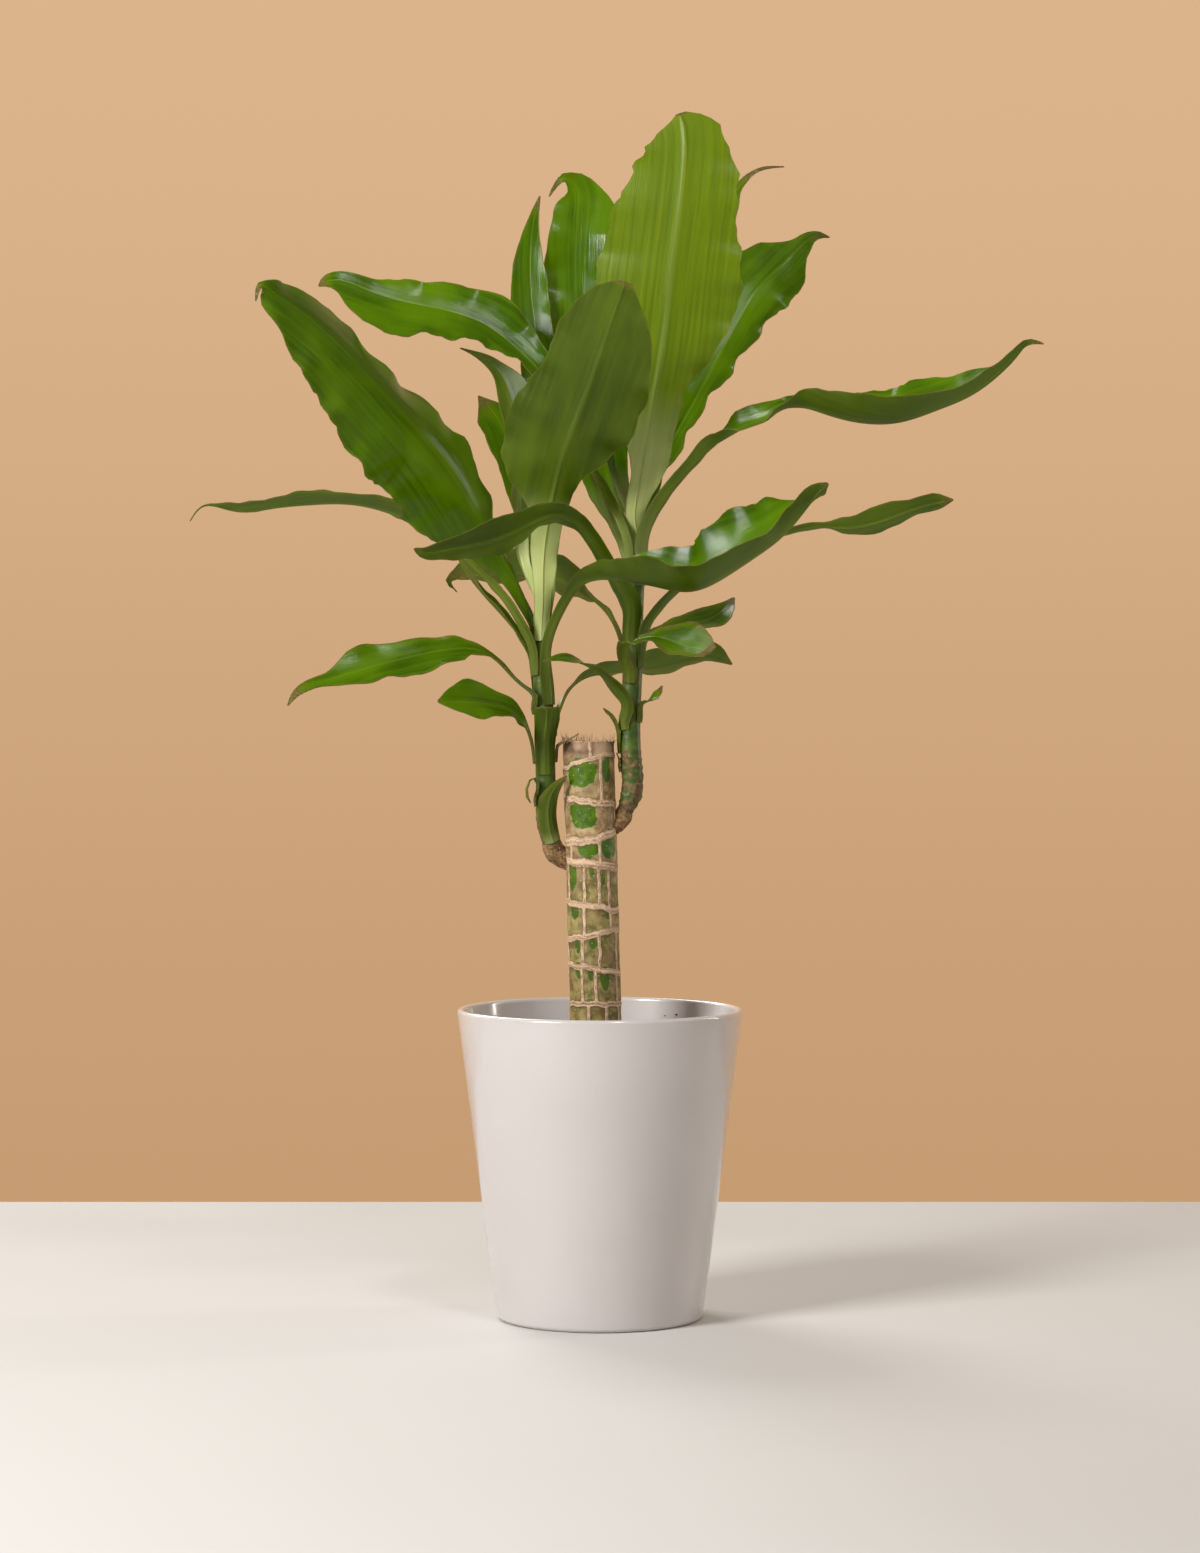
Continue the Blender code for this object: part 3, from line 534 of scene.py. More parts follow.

# %% [markdown]
# The cane is a length of old trunk, sawn off square. Its green skin shows through a net of dry
# tan bark: nearly level rings, which are old leaf scars, and upright strips between them. The
# net is placed ring by ring, because its pattern is what makes a cane look grown and not
# printed. Each point of the fine tube stores how far it is from the nearest line of the
# net; the same number raises the bark a little and colours it.

# %% Net of bark
CANE_TOP = cane_high.z - CANE_RADIUS * abs(CANE_LEAN)
CANE_BOTTOM = cane_low.z + CANE_RADIUS * abs(CANE_LEAN)
RINGS = [
    # depth below the sawn top at the left, front and right, and width, in millimetres
    (17.0, 10.0, 8.5, 1.3), (32.0, 34.5, 36.0, 2.0), (57.0, 56.0, 50.5, 2.3), (68.0, 70.0, 72.5, 2.4),
    (92.0, 94.5, 96.5, 1.9), (115.0, 110.0, 108.0, 1.8), (127.5, 130.0, 132.5, 1.7),
    (150.5, 150.0, 150.5, 1.6), (169.0, 167.0, 166.0, 1.6)]
STRIPS = [
    # degrees round from the front, to the right, of the strips above the first ring and below each
    (5, 130, -150), (28, 118, -165), (72, -78, 165), (20, -50, 96, -130), (-18, 16, 40, -62, 110, 170, -120),
    (-20, 43, 88, 140, -100, -160), (-26, 13, 60, 120, -75, -140), (-29, 2, 58, 100, 160, -80, -130),
    (-15, 25, 62, 120, -170, -90), (-30, 10, 50, 100, 150, -70, -120)]
STRIP_WIDTH = 0.95
BARE_PATCHES = [
    # depth below the sawn top, degrees round from the front, half height and half width in
    # millimetres of each place where the green skin is bare
    (18, -18, 8.5, 9.5), (15.5, 42, 7.5, 3.2), (41.5, -18, 8.5, 8.5), (61.5, -8, 5.5, 6.5), (59, 48, 8, 6.5),
    (77, -50, 9, 4.2), (74, 0, 3.6, 1.7), (78, 27, 5, 1.4), (79, 43, 5.5, 1.8), (97, -45, 5, 3.2),
    (99, 36, 3, 1.6), (117, -38, 4, 2), (115.5, 0, 3, 2.4), (131, -38, 5, 2), (132, -8, 4.5, 1.6),
    (135, 24, 7, 3), (149, -10, 2, 3)]
BACK_TURN = 165
CANE_COLUMNS = 132
CANE_ROW_PITCH = 0.0008
CANE_TOP_RINGS = 10
BURIED_SKIN = 0.004
SKIN_DEPTH = 0.0003
BARK_RELIEF = 0.42
BARK_SHARPNESS = 60
FAR = 9.0


def ring_depth(ring, angle, index):
    left, front, right, _ = ring
    level = (left + right) / 2
    wobble = noise.noise(Vector((math.cos(angle) * 2.2, math.sin(angle) * 2.2, index * 3.1)))
    return level + (right - left) / 2 * math.sin(angle) + (front - level) * math.cos(angle) + 1.6 * wobble


def around(angle, degrees):
    """Distance round the cane, in millimetres, from a direction given in degrees."""
    turn = (math.degrees(angle) - degrees + 180) % 360 - 180
    return math.radians(turn) * CANE_RADIUS / MM


def net_of_bark(depth, angle):
    """How near a line of bark is, in its half widths, and a bare patch, in its half sizes."""
    row, nearest = 0, FAR
    for index, ring in enumerate(RINGS):
        away = depth - ring_depth(ring, angle, index)
        row += away > 0
        nearest = min(nearest, abs(away) / ring[3])
    for strip in STRIPS[row]:
        sway = 0.7 * noise.noise(Vector((depth * 0.12, strip * 0.7, 4.0)))
        nearest = min(nearest, abs(around(angle, strip) + sway) / STRIP_WIDTH)
    bare = FAR
    for level, degrees, tall, wide in BARE_PATCHES:
        for turn in (0, BACK_TURN):
            away = math.hypot((depth - level) / tall, around(angle, degrees + turn) / wide)
            bare = min(bare, away)
    return nearest, bare


def cane_paint():
    paint = Paint("cane_bark", Specular_IOR_Level=0.4)
    line, depth, bare = paint.numbers("net")
    spot = place(paint)
    grain = paint.clouds(spot, 480.0, 4.0, 0.65)
    blot = paint.clouds(spot, 150.0, 4.0, 0.6)
    broad = paint.clouds(spot, 60.0, 2.0, 0.5)
    fibre = paint.clouds(paint.vector(line * 0.9, depth * 0.10, grain), 3.0, 3.0, 0.7)
    low = depth.step(66.0, 84.0)
    skin = paint.mix(blot.step(0.3, 0.7), (0.030, 0.080, 0.0005), (0.090, 0.180, 0.001))
    skin = paint.mix(low * 0.55, skin, (0.050, 0.085, 0.008))
    film_high = paint.mix(blot.step(0.35, 0.65), (0.17, 0.100, 0.030), (0.50, 0.36, 0.18))
    film_low = paint.mix(blot.step(0.35, 0.65), (0.105, 0.090, 0.014), (0.330, 0.255, 0.095))
    film = paint.mix(low, film_high, film_low)
    film = paint.mix(broad.step(0.46, 0.60) * 0.45, film, (0.13, 0.075, 0.030))
    ragged = blot * 0.8 + broad * 0.4
    open_skin = (bare + ragged - 0.60).step(1.06, 0.96)
    rim = (bare + ragged - 0.60).step(1.35, 1.08) * (1 - open_skin)
    cell = paint.mix(rim * 0.35, film, (0.30, 0.24, 0.13))
    cell = paint.mix(open_skin, cell, skin)
    dot = paint.clouds(spot, 700.0, 0.0).step(0.74, 0.80)
    cell = paint.mix(dot * 0.55, cell, (0.45, 0.42, 0.20))
    bark = paint.mix(fibre.step(0.30, 0.62), (0.22, 0.115, 0.055), (0.66, 0.48, 0.32))
    on_line = (line + grain * 1.1 - 0.55).step(1.10, 0.85)
    shade = (line + grain * 0.7 - 0.35).step(1.9, 1.0) * 0.5
    cell = paint.mix(shade, cell, (0.10, 0.058, 0.022))
    cap = depth.step(8.5, 5.5)
    cell = paint.mix(cap, cell, paint.mix(broad.step(0.42, 0.6), (0.42, 0.29, 0.18), (0.13, 0.070, 0.040)))
    sawn = depth.step(0.35, 0.1)
    colour = paint.mix(on_line, cell, bark)
    colour = paint.mix(sawn, colour, paint.mix(grain, (0.38, 0.27, 0.17), (0.60, 0.47, 0.32)))
    dull = on_line.at_least(cap).at_least(sawn).at_least((1 - open_skin) * 0.45)
    height = grain * 0.6 + blot * 0.4 + on_line * 0.5 - open_skin * 0.3
    return paint.done(
        Base_Color=colour, Roughness=dull * 0.5 + 0.34, Normal=paint.bump(height, 0.0006, 0.8))


def add_cane():
    seen_rows = int((CANE_TOP - MIX_TOP + BURIED_SKIN) / CANE_ROW_PITCH)
    points, net, faces = [], [], []
    depths = [i * CANE_ROW_PITCH for i in range(seen_rows)] + [CANE_TOP - CANE_BOTTOM]
    for drop in depths:
        middle = cane_axis(CANE_TOP - drop)
        depth = drop / MM
        for column in range(CANE_COLUMNS):
            angle = column * 2 * math.pi / CANE_COLUMNS
            line, bare = net_of_bark(depth, angle)
            rough = noise.noise(Vector((math.cos(angle) * 5, math.sin(angle) * 5, depth * 0.35)))
            relief = BARK_RELIEF * math.exp(-0.9 * line * line) + 0.16 * rough
            radius = CANE_RADIUS - SKIN_DEPTH + relief * MM
            points.append(middle + radius * outwards(angle))
            net.append((line, depth, bare))
    for row in range(len(depths) - 1):
        side = band(row * CANE_COLUMNS, (row + 1) * CANE_COLUMNS, CANE_COLUMNS)
        faces += [(a, d, c, b) for a, b, c, d in side]
    start = len(points)
    for ring in range(1, CANE_TOP_RINGS):
        share = 1 - ring / CANE_TOP_RINGS
        for column in range(CANE_COLUMNS):
            rim = points[column]
            point = cane_axis(CANE_TOP) + (rim - cane_axis(CANE_TOP)) * share
            point[2] = CANE_TOP + 0.0004 * noise.noise(Vector(point) * 600) - 0.0005 * (1 - share)
            points.append(point)
            net.append((FAR, 0.0, FAR))
    for ring in range(CANE_TOP_RINGS - 1):
        outer = 0 if ring == 0 else start + (ring - 1) * CANE_COLUMNS
        faces += band(outer, start + ring * CANE_COLUMNS, CANE_COLUMNS)
    last = start + (CANE_TOP_RINGS - 2) * CANE_COLUMNS
    faces.append([last + i for i in range(CANE_COLUMNS)])
    bottom = (len(depths) - 1) * CANE_COLUMNS
    faces.append([bottom + i for i in range(CANE_COLUMNS)][::-1])
    piece = add_piece("cane_trunk", points, faces, cane_paint(), "cane", "cane_bark", sharp=BARK_SHARPNESS)
    add_numbers(piece, "net", net)
    return piece


cane = add_cane()
print("cane:", len(cane.data.polygons), "faces")

# %% [markdown]
# The saw frayed the bark at the top into a fringe of short fibres. Each fibre is a thin three-sided
# spike that leans its own way. The same maker serves for the torn fibres on the two calluses,
# the corky swellings that the shoots grew from.


# %% Frayed fibres
FIBRE_SHARES = (0.0, 0.35, 0.7)
FIBRE_BEND = 0.35


def fibre_fringe(name, roots, lengths, width, spread, seed):
    """Many thin bent spikes in one piece, from their (place, direction) pairs and lengths."""
    rng = np.random.default_rng(seed)
    points, faces = [], []
    for (root, away), length in zip(roots, lengths):
        root, away = np.array(root), np.array(away)
        lean = away + rng.normal(0, spread, 3)
        lean /= np.linalg.norm(lean)
        bend = rng.normal(0, FIBRE_BEND, 3)
        side = np.cross(lean, (0.3, 0.9, 0.2))
        side /= np.linalg.norm(side)
        other = np.cross(lean, side)
        start = len(points)
        for share in FIBRE_SHARES:
            middle = root + lean * length * share + bend * length * share ** 2 * 0.5
            thick = width * (1 - 0.75 * share)
            for turn in (0, 2 * math.pi / 3, 4 * math.pi / 3):
                points.append(middle + thick * (math.cos(turn) * side + math.sin(turn) * other))
        points.append(root + lean * length + bend * length * 0.5)
        faces.append((start + 2, start + 1, start))
        for ring in (start, start + 3):
            faces += band(ring, ring + 3, 3)
        for k in range(3):
            faces.append((start + 6 + k, start + 6 + (k + 1) % 3, start + 9))
    add_piece(name, points, faces, torn, "cane", "cane_bark", sharp=BARK_SHARPNESS)


def fibre_paint():
    paint = Paint("torn_fibre", Roughness=0.85, Specular_IOR_Level=0.3)
    tone = paint.clouds(place(paint), 500.0, 2.0)
    return paint.done(Base_Color=paint.mix(tone, (0.25, 0.14, 0.07), (0.66, 0.48, 0.30)))


FRAY_COUNT = 190
FRAY_DEPTH = 0.0012
FRAY_FLARE = 0.18
FRAY_LENGTHS = (0.0016, 0.0062)


def add_frayed_top():
    rng = np.random.default_rng(11)
    roots, lengths = [], []
    for turn in rng.uniform(-180, 180, FRAY_COUNT):
        out = outwards(math.radians(turn))
        root = cane_axis(CANE_TOP - FRAY_DEPTH) + out * CANE_RADIUS * rng.uniform(0.90, 0.99)
        roots.append((root, out * FRAY_FLARE + (0, 0, 1)))
        lengths.append(rng.uniform(*FRAY_LENGTHS))
    fibre_fringe("frayed_top", roots, lengths, width=0.00024, spread=0.22, seed=12)


torn = fibre_paint()
add_frayed_top()
print("fibres on the sawn top:", FRAY_COUNT)

# %% [markdown]
# A shoot is a round stem that rises from its callus. The stem's middle line is a smooth curve
# through a few points, given in millimetres from the foot of the shoot. The foot itself is read
# from the frame: it is the middle of the lowest ring of the stem's plain solid. Curves through
# points come from a natural cubic spline, which bends as little as it can.

# %% Smooth curves
def distances_along(points):
    steps = np.linalg.norm(np.diff(points, axis=0), axis=1)
    return np.concatenate([[0.0], np.cumsum(steps)])


def spline(knots, values, at):
    """Natural cubic spline through the values, read at the given places."""
    count = len(knots)
    spans = np.diff(knots)
    slopes = np.diff(values, axis=0) / spans[:, None]
    system = np.eye(count)
    right_side = np.zeros(values.shape)
    for i in range(1, count - 1):
        system[i, i - 1:i + 2] = spans[i - 1], 2 * (spans[i - 1] + spans[i]), spans[i]
        right_side[i] = 6 * (slopes[i] - slopes[i - 1])
    bends = np.linalg.solve(system, right_side)
    i = np.clip(np.searchsorted(knots, at) - 1, 0, count - 2)
    span = spans[i][:, None]
    before = (knots[i + 1] - at)[:, None] / span
    after = 1 - before
    curve = (before ** 3 - before) * bends[i] + (after ** 3 - after) * bends[i + 1]
    return before * values[i] + after * values[i + 1] + curve * span ** 2 / 6


def smoothstep(share):
    share = np.clip(share, 0, 1)
    return share * share * (3 - 2 * share)


def eased(knots, values, at):
    """Values that ease from one knot to the next and never overshoot."""
    i = np.clip(np.searchsorted(knots, at) - 1, 0, len(knots) - 2)
    share = smoothstep((at - knots[i]) / (knots[i + 1] - knots[i]))
    return values[i] * (1 - share) + values[i + 1] * share


def steady(knots, values, at):
    """Monotone cubic through the values, for widths that must not overshoot."""
    spans = np.diff(knots)
    slopes = np.diff(values) / spans
    tangents = np.zeros(len(knots))
    tangents[0] = slopes[0]
    tangents[-1] = slopes[-1]
    for i in range(1, len(knots) - 1):
        if slopes[i - 1] * slopes[i] > 0:
            before = 2 * spans[i] + spans[i - 1]
            after = spans[i] + 2 * spans[i - 1]
            tangents[i] = (before + after) / (before / slopes[i - 1] + after / slopes[i])
    i = np.clip(np.searchsorted(knots, at) - 1, 0, len(knots) - 2)
    t = (at - knots[i]) / spans[i]
    ends = smoothstep(t) * (values[i + 1] - values[i]) + values[i]
    return ends + spans[i] * t * (1 - t) * ((1 - t) * tangents[i] - t * tangents[i + 1])


# %% Shoots
LEFT_SHOOT = [
    (0, 0, 0, 5.2), (-3, -3, 12, 5.6), (-3.5, -4, 30.5, 5.8), (-4, -4, 53.5, 5.8),
    (-4.5, -3, 76.5, 5.6), (-6, -2, 99, 5.2), (-6, -1, 119.5, 4.4), (-5, 0, 139.5, 3)]
RIGHT_SHOOT = [
    (0, 0, 0, 4.4), (4, 0, 10, 6), (4, 0, 28.5, 6.2), (3.5, 0, 47, 5.8), (4, 1, 64.5, 5.8),
    (5, 1, 90, 5.8), (5.5, 1, 116, 5.6), (7, 1, 141.5, 5.2), (8, 2, 161.5, 3.2)]
LOWEST_RING = 0.0045
SHOOT_SAMPLES = 400


class Shoot:
    """A round stem along a smooth axis, that knows its middle and radius at any height."""

    def __init__(self, node, table):
        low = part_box(node)[0].z
        corners = {tuple(round(c, 6) for c in v.co) for v in nodes[node].data.vertices}
        self.node = node
        self.foot = np.mean([c for c in corners if c[2] < low + LOWEST_RING], axis=0)
        table = np.array(table, float) * MM
        self.through = self.foot + table[:, :3]
        self.radii_through = table[:, 3]
        self.knots = distances_along(self.through)

    def read(self, count):
        along = np.linspace(0, self.knots[-1], count)
        points = spline(self.knots, self.through, along)
        return points, np.interp(along, self.knots, self.radii_through)

    def at_height(self, height):
        points, radii = self.read(SHOOT_SAMPLES)
        middle = np.array([np.interp(height, points[:, 2], points[:, i]) for i in range(3)])
        return middle, np.interp(height, points[:, 2], radii)


left_shoot = Shoot("left_shoot_stem", LEFT_SHOOT)
right_shoot = Shoot("right_shoot_stem", RIGHT_SHOOT)
print("shoot feet:", left_shoot.foot.round(4), right_shoot.foot.round(4))

# %% [markdown]
# Where old leaves fell, the stem keeps a thin brown scar all the way round, with a slight step.
# Scars come every few millimetres, and low down, where the bark has begun, they are rough and
# brown. The stem is a fine tube whose radius carries those steps; the heights of the scars are
# stored on its points so that the paint can find them.

# %% Stems
STEM_SIDES = 40
STEM_ROW_PITCH = 0.0009
# millimetres: between scars, how far they sway, their step and ridge, lumps, and how far the
# skin lies inside the plain stem
SCAR_PITCH = 5.2
SCAR_SWAY = 2.2
SCAR_STEP = 0.22
SCAR_RIDGE = 0.20
LUMP = 0.55
STEM_INSET = 0.15
ROUGH_FADE = 8


def stem_paint():
    paint = Paint("stem_skin", Specular_IOR_Level=0.5)
    _, scar, rough_share = paint.numbers("stem")
    spot = place(paint)
    grain = paint.clouds(spot, 380.0, 4.0, 0.6)
    blot = paint.clouds(spot, 130.0, 3.0, 0.6)
    green = paint.mix(blot.step(0.3, 0.7), (0.030, 0.072, 0.003), (0.090, 0.150, 0.016))
    scarred = (scar + grain * 0.8 - 0.4).step(0.75, 0.25)
    green = paint.mix(scarred * (rough_share * 0.55 + 0.25), green, (0.13, 0.080, 0.026))
    brown = paint.mix(grain.step(0.3, 0.7), (0.040, 0.026, 0.006), (0.20, 0.125, 0.050))
    flaking = (blot * 0.8 + grain * 0.4 + rough_share * 0.16).step(0.70, 0.80) * rough_share.step(0.0, 0.3)
    return paint.done(
        Base_Color=paint.mix(flaking, green, brown),
        Roughness=flaking * 0.45 + 0.40,
        Normal=paint.bump(grain * 0.5 + blot * 0.5, 0.0006, 0.6))


def round_stem(points, radii, sides):
    """Points and faces of a closed tube, from its middle line and a radius for every point."""
    forward = unit(np.gradient(points, axis=0))
    across = unit(np.cross(forward, (0.0, -1.0, 0.0)))
    up = np.cross(forward, across)
    angles = np.arange(sides) * 2 * math.pi / sides
    ring = np.cos(angles)[None, :, None] * across[:, None] + np.sin(angles)[None, :, None] * up[:, None]
    rings = points[:, None] + radii[..., None] * ring
    faces = [tuple(range(sides))[::-1]]
    for row in range(len(points) - 1):
        faces += band(row * sides, (row + 1) * sides, sides)
    last = (len(points) - 1) * sides
    faces.append(tuple(range(last, last + sides)))
    return rings.reshape(-1, 3), faces


def add_stem(shoot, rough_height, seed):
    count = int(shoot.knots[-1] / STEM_ROW_PITCH)
    points, radii = shoot.read(count)
    angles = np.arange(STEM_SIDES) * 2 * math.pi / STEM_SIDES
    grid = np.zeros((count, STEM_SIDES))
    numbers = []
    for row in range(count):
        height = (points[row, 2] - shoot.foot[2]) / MM
        roughness = float(smoothstep((rough_height - height) / ROUGH_FADE))
        for side, angle in enumerate(angles):
            x, y = math.cos(angle), math.sin(angle)
            sway = noise.noise(Vector((x * 1.4, y * 1.4, height * 0.06 + seed)))
            past = (height + SCAR_SWAY * sway) % SCAR_PITCH
            scar = min(past, SCAR_PITCH - past)
            lump = noise.noise(Vector((x * 2.6, y * 2.6, height * 0.45 + seed)))
            step = SCAR_STEP * (past / SCAR_PITCH) + SCAR_RIDGE * math.exp(-scar * scar * 4)
            relief = step * (0.35 + roughness) + LUMP * lump * roughness - STEM_INSET
            grid[row, side] = radii[row] + relief * MM
            numbers.append((height, scar, roughness))
    shape = round_stem(points, grid, STEM_SIDES)
    skin = add_piece(shoot.node + "_skin", *shape, stem_finish, shoot.node, "shoot_skin", BARK_SHARPNESS)
    add_numbers(skin, "stem", numbers)


stem_finish = stem_paint()
add_stem(left_shoot, rough_height=26, seed=1.0)
add_stem(right_shoot, rough_height=38, seed=2.0)
print("stems: scars every", SCAR_PITCH, "mm")


# %% Calluses
def callus_paint():
    paint = Paint("callus_cork", Roughness=0.85, Specular_IOR_Level=0.3)
    spot = place(paint)
    grain = paint.clouds(spot, 500.0, 4.0, 0.7)
    blot = paint.clouds(spot, 180.0, 3.0, 0.6)
    shade = (grain * 0.6 + blot * 0.4).step(0.35, 0.66)
    colour = paint.mix(shade, (0.070, 0.034, 0.010), (0.36, 0.22, 0.10))
    return paint.done(Base_Color=colour, Normal=paint.bump(grain + blot, 0.0009, 0.9))


CALLUS_DROP = 0.012
CALLUS_SIDES = 36
CALLUS_ROWS = 18
CALLUS_BARE_ROWS = 6
CALLUS_PAST_FOOT = 0.0012
CALLUS_FIBRES = 46
CALLUS_FIBRE_LENGTHS = (0.0010, 0.0034)


def add_callus(name, shoot, seed):
    """A lumpy swelling that runs from inside the cane out to the foot of a shoot."""
    stem, radii = shoot.read(80)
    forward = unit(stem[1] - stem[0])
    end = stem[0] + forward * CALLUS_PAST_FOOT
    root = cane_axis(end[2] - CALLUS_DROP)
    neck = stem[0] - forward * radii[0]
    through = np.array([root, neck, end])
    knots = distances_along(through)
    points = spline(knots, through, np.linspace(0, knots[-1], CALLUS_ROWS))
    share = np.linspace(0, 1, CALLUS_ROWS)
    widths = [0.0066, 0.0058, radii[0] + 0.0007, radii[0] + 0.0001]
    width = np.interp(share, [0, 0.55, 0.92, 1.0], widths)
    grid = np.zeros((CALLUS_ROWS, CALLUS_SIDES))
    for row in range(CALLUS_ROWS):
        for side in range(CALLUS_SIDES):
            angle = side * 2 * math.pi / CALLUS_SIDES
            spot = Vector((math.cos(angle) * 2.3, math.sin(angle) * 2.3, row * 0.5 + seed))
            grid[row, side] = width[row] + 0.0010 * noise.noise(spot) + 0.0004 * noise.noise(spot * 3)
    surface, faces = round_stem(points, grid, CALLUS_SIDES)
    add_piece(name, surface, faces, cork, "cane", "cane_bark", sharp=BARK_SHARPNESS)
    rng = np.random.default_rng(seed)
    outside = np.arange(CALLUS_SIDES * CALLUS_BARE_ROWS, CALLUS_SIDES * (CALLUS_ROWS - 1))
    roots = []
    for index in rng.choice(outside, CALLUS_FIBRES, replace=False):
        out = surface[index] - points[index // CALLUS_SIDES]
        roots.append((surface[index] - out * 0.1, unit(out)))
    lengths = rng.uniform(*CALLUS_FIBRE_LENGTHS, len(roots))
    fibre_fringe(name + "_fibres", roots, lengths, width=0.00016, spread=0.5, seed=seed + 1)


cork = callus_paint()
add_callus("left_callus", left_shoot, seed=21)
add_callus("right_callus", right_shoot, seed=33)
print("calluses: 2")

# %% [markdown]
# A corn plant's leaf is a long strap. Its base clasps the stem, it narrows, widens to a blade,
# and ends in a point that dries and curls. A leaf here is a curve for its midrib, a half width
# on each side, and the roll of its upper face round the curve. Across the curve the blade first
# wraps the stem, then opens into two halves that rise from the midrib and bend a little more
# towards the margins. This is the form of the plain solids too, made here with many more rows
# and columns.

# %% Shape of a blade
CLASP_LENGTH = 0.009
CLASP_SHARE_OF_RISE = 0.45
CLASP_FADE = 0.025
CLASP_TURN_MOST = 2.6
CLASP_NARROWING = 0.85
CLASP_SLACK = (0.0001, 0.0005)
THICKNESS = 0.0008
MARGIN_THICKNESS = 0.00035
RIB_DEPTH = 0.0009
LEAF_ROW_PITCH = 0.0032
CREASE_SHARPNESS = 3
TIP_SHARE = 0.35
TIP_FLATNESS = 0.35
UNEVENNESS = 0.10
# lengths in metres: where notches fade out at the base and at the tip, and where a torn tip
# starts and how soon it is fully torn
EVEN_BASE, EVEN_TIP = 0.06, 0.012
TORN_LENGTH, TORN_FADE = 0.050, 0.040
LEAST_HALF_WIDTH = 0.0003
ACROSS_STEPS = 24
FORWARD_STEP = 0.0006
COLUMNS = np.array([0.0, 0.035, 0.085, 0.17, 0.28, 0.42, 0.57, 0.72, 0.86, 0.95, 1.0])
ACROSS = np.concatenate([-COLUMNS[:0:-1], COLUMNS])


def clasp_rows(shoot, base, clasp, turn, first_height):
    """Two stations that lay the leaf's base round its shoot."""
    bottom = shoot.foot[2] + base
    sheath = min(CLASP_LENGTH, CLASP_SHARE_OF_RISE * (first_height - bottom))
    away = math.radians(turn + 90)
    rows = []
    for rise, slack, share in zip((0.0, sheath), CLASP_SLACK, (CLASP_NARROWING, 1.0)):
        middle, radius = shoot.at_height(bottom + rise)
        out = radius + GAP + THICKNESS / 2 + slack
        point = middle + out * np.array([math.cos(away), math.sin(away), 0.0])
        rows.append((*point, turn, clasp * share, clasp * share))
    return rows, sheath, shoot.at_height(bottom)[1] + GAP + THICKNESS / 2


def margin_path(share, width, folds, curls):
    """How far out and up a leaf reaches at a share of its half width, for every row."""
    inner = (np.arange(ACROSS_STEPS) + 0.5) / ACROSS_STEPS * share
    slope = folds[:, None] * np.clip(CREASE_SHARPNESS * inner, 0, 1) + curls[:, None] * inner
    return np.cos(slope).mean(axis=1) * share * width, np.sin(slope).mean(axis=1) * share * width


def uneven(widths, along, length, seed, torn):
    """Half widths with small notches and bulges, and with a torn tip where one is asked for."""
    ends = smoothstep(along / EVEN_BASE) * smoothstep((length - along) / EVEN_TIP)
    near_tip = torn * smoothstep((along - length + TORN_LENGTH) / TORN_FADE)
    for side, width in enumerate(widths):
        spots = [Vector((s * 62, seed * 3.7 + side * 9, 0.5)) for s in along]
        jitter = np.array([noise.noise(spot) + 0.6 * noise.noise(spot * 2.7) for spot in spots])
        nicks = np.array([noise.noise(spot * 3.1) for spot in spots])
        width *= 1 + UNEVENNESS * jitter * ends + nicks * near_tip
    return widths


def blade(shoot, seed, base, clasp, turn, midrib, fold=12, curl=10, torn=0.0):
    """The middle surface of a leaf, and what its paint and its waves need to know."""
    stations = np.array(midrib, float)
    stations[:, [0, 1, 2, 4, 5]] *= MM
    stations[:, :3] += shoot.foot
    rows, sheath, hug = clasp_rows(shoot, base * MM, clasp * MM, turn, stations[0, 2])
    stations = np.concatenate([rows, stations])
    knots = distances_along(stations[:, :3])
    length = knots[-1]
    along = np.linspace(0, length, max(10, int(length / LEAF_ROW_PITCH)))
    middle = spline(knots, stations[:, :3], along)
    ahead = spline(knots, stations[:, :3], np.minimum(along + FORWARD_STEP, length))
    behind = spline(knots, stations[:, :3], np.maximum(along - FORWARD_STEP, 0))
    forward = unit(ahead - behind)
    front = np.array([0.0, -1.0, 0.0])
    facing = unit(front - forward * (forward @ front)[:, None])
    roll = np.radians(eased(knots, stations[:, 3], along))[:, None]
    normal = np.cos(roll) * facing + np.sin(roll) * np.cross(forward, facing)
    right = np.cross(forward, normal)
    widths = [steady(knots, stations[:, column], along) for column in (4, 5)]
    widths = uneven(np.maximum(widths, LEAST_HALF_WIDTH), along, length, seed, torn)
    hugging = 1 - smoothstep((along - sheath) / CLASP_FADE)
    flatness = TIP_FLATNESS + (1 - TIP_FLATNESS) * np.clip((length - along) / (TIP_SHARE * length), 0, 1)
    half = widths.max(axis=0)
    folds = math.radians(fold) * (1 - hugging) * flatness
    curls = np.minimum(half / hug, CLASP_TURN_MOST) * hugging + math.radians(curl) * (1 - hugging) * flatness
    grid = np.zeros((len(along), len(ACROSS), 3))
    for column, share in enumerate(ACROSS):
        width = widths[0] if share < 0 else widths[1]
        out, rise = margin_path(abs(share), width, folds, curls)
        grid[:, column] = middle + np.sign(share) * out[:, None] * right + rise[:, None] * normal
    return grid, along, widths, hugging


# %% [markdown]
# No living leaf has a ruled margin. Each margin gets its own slow wave and a quicker, smaller
# one, strongest at the edge and fading to nothing at the midrib, the base and the tip. The
# midrib stands out below as a keel, and the blade thins towards its margins.


# %% Waves and thickness
# wave lengths and widths are in metres, and the rest are shares and a power
SLOW_WAVES = (0.030, 0.046)
QUICK_WAVES = (0.013, 0.019)
QUICK_SHARE = 0.42
CALMING_WIDTH = 0.006
WAVE_REACH = 2.2
KEEL_SHARE = 0.1
FULL_KEEL_WIDTH = 0.02
GROOVE_SHARE = 0.25


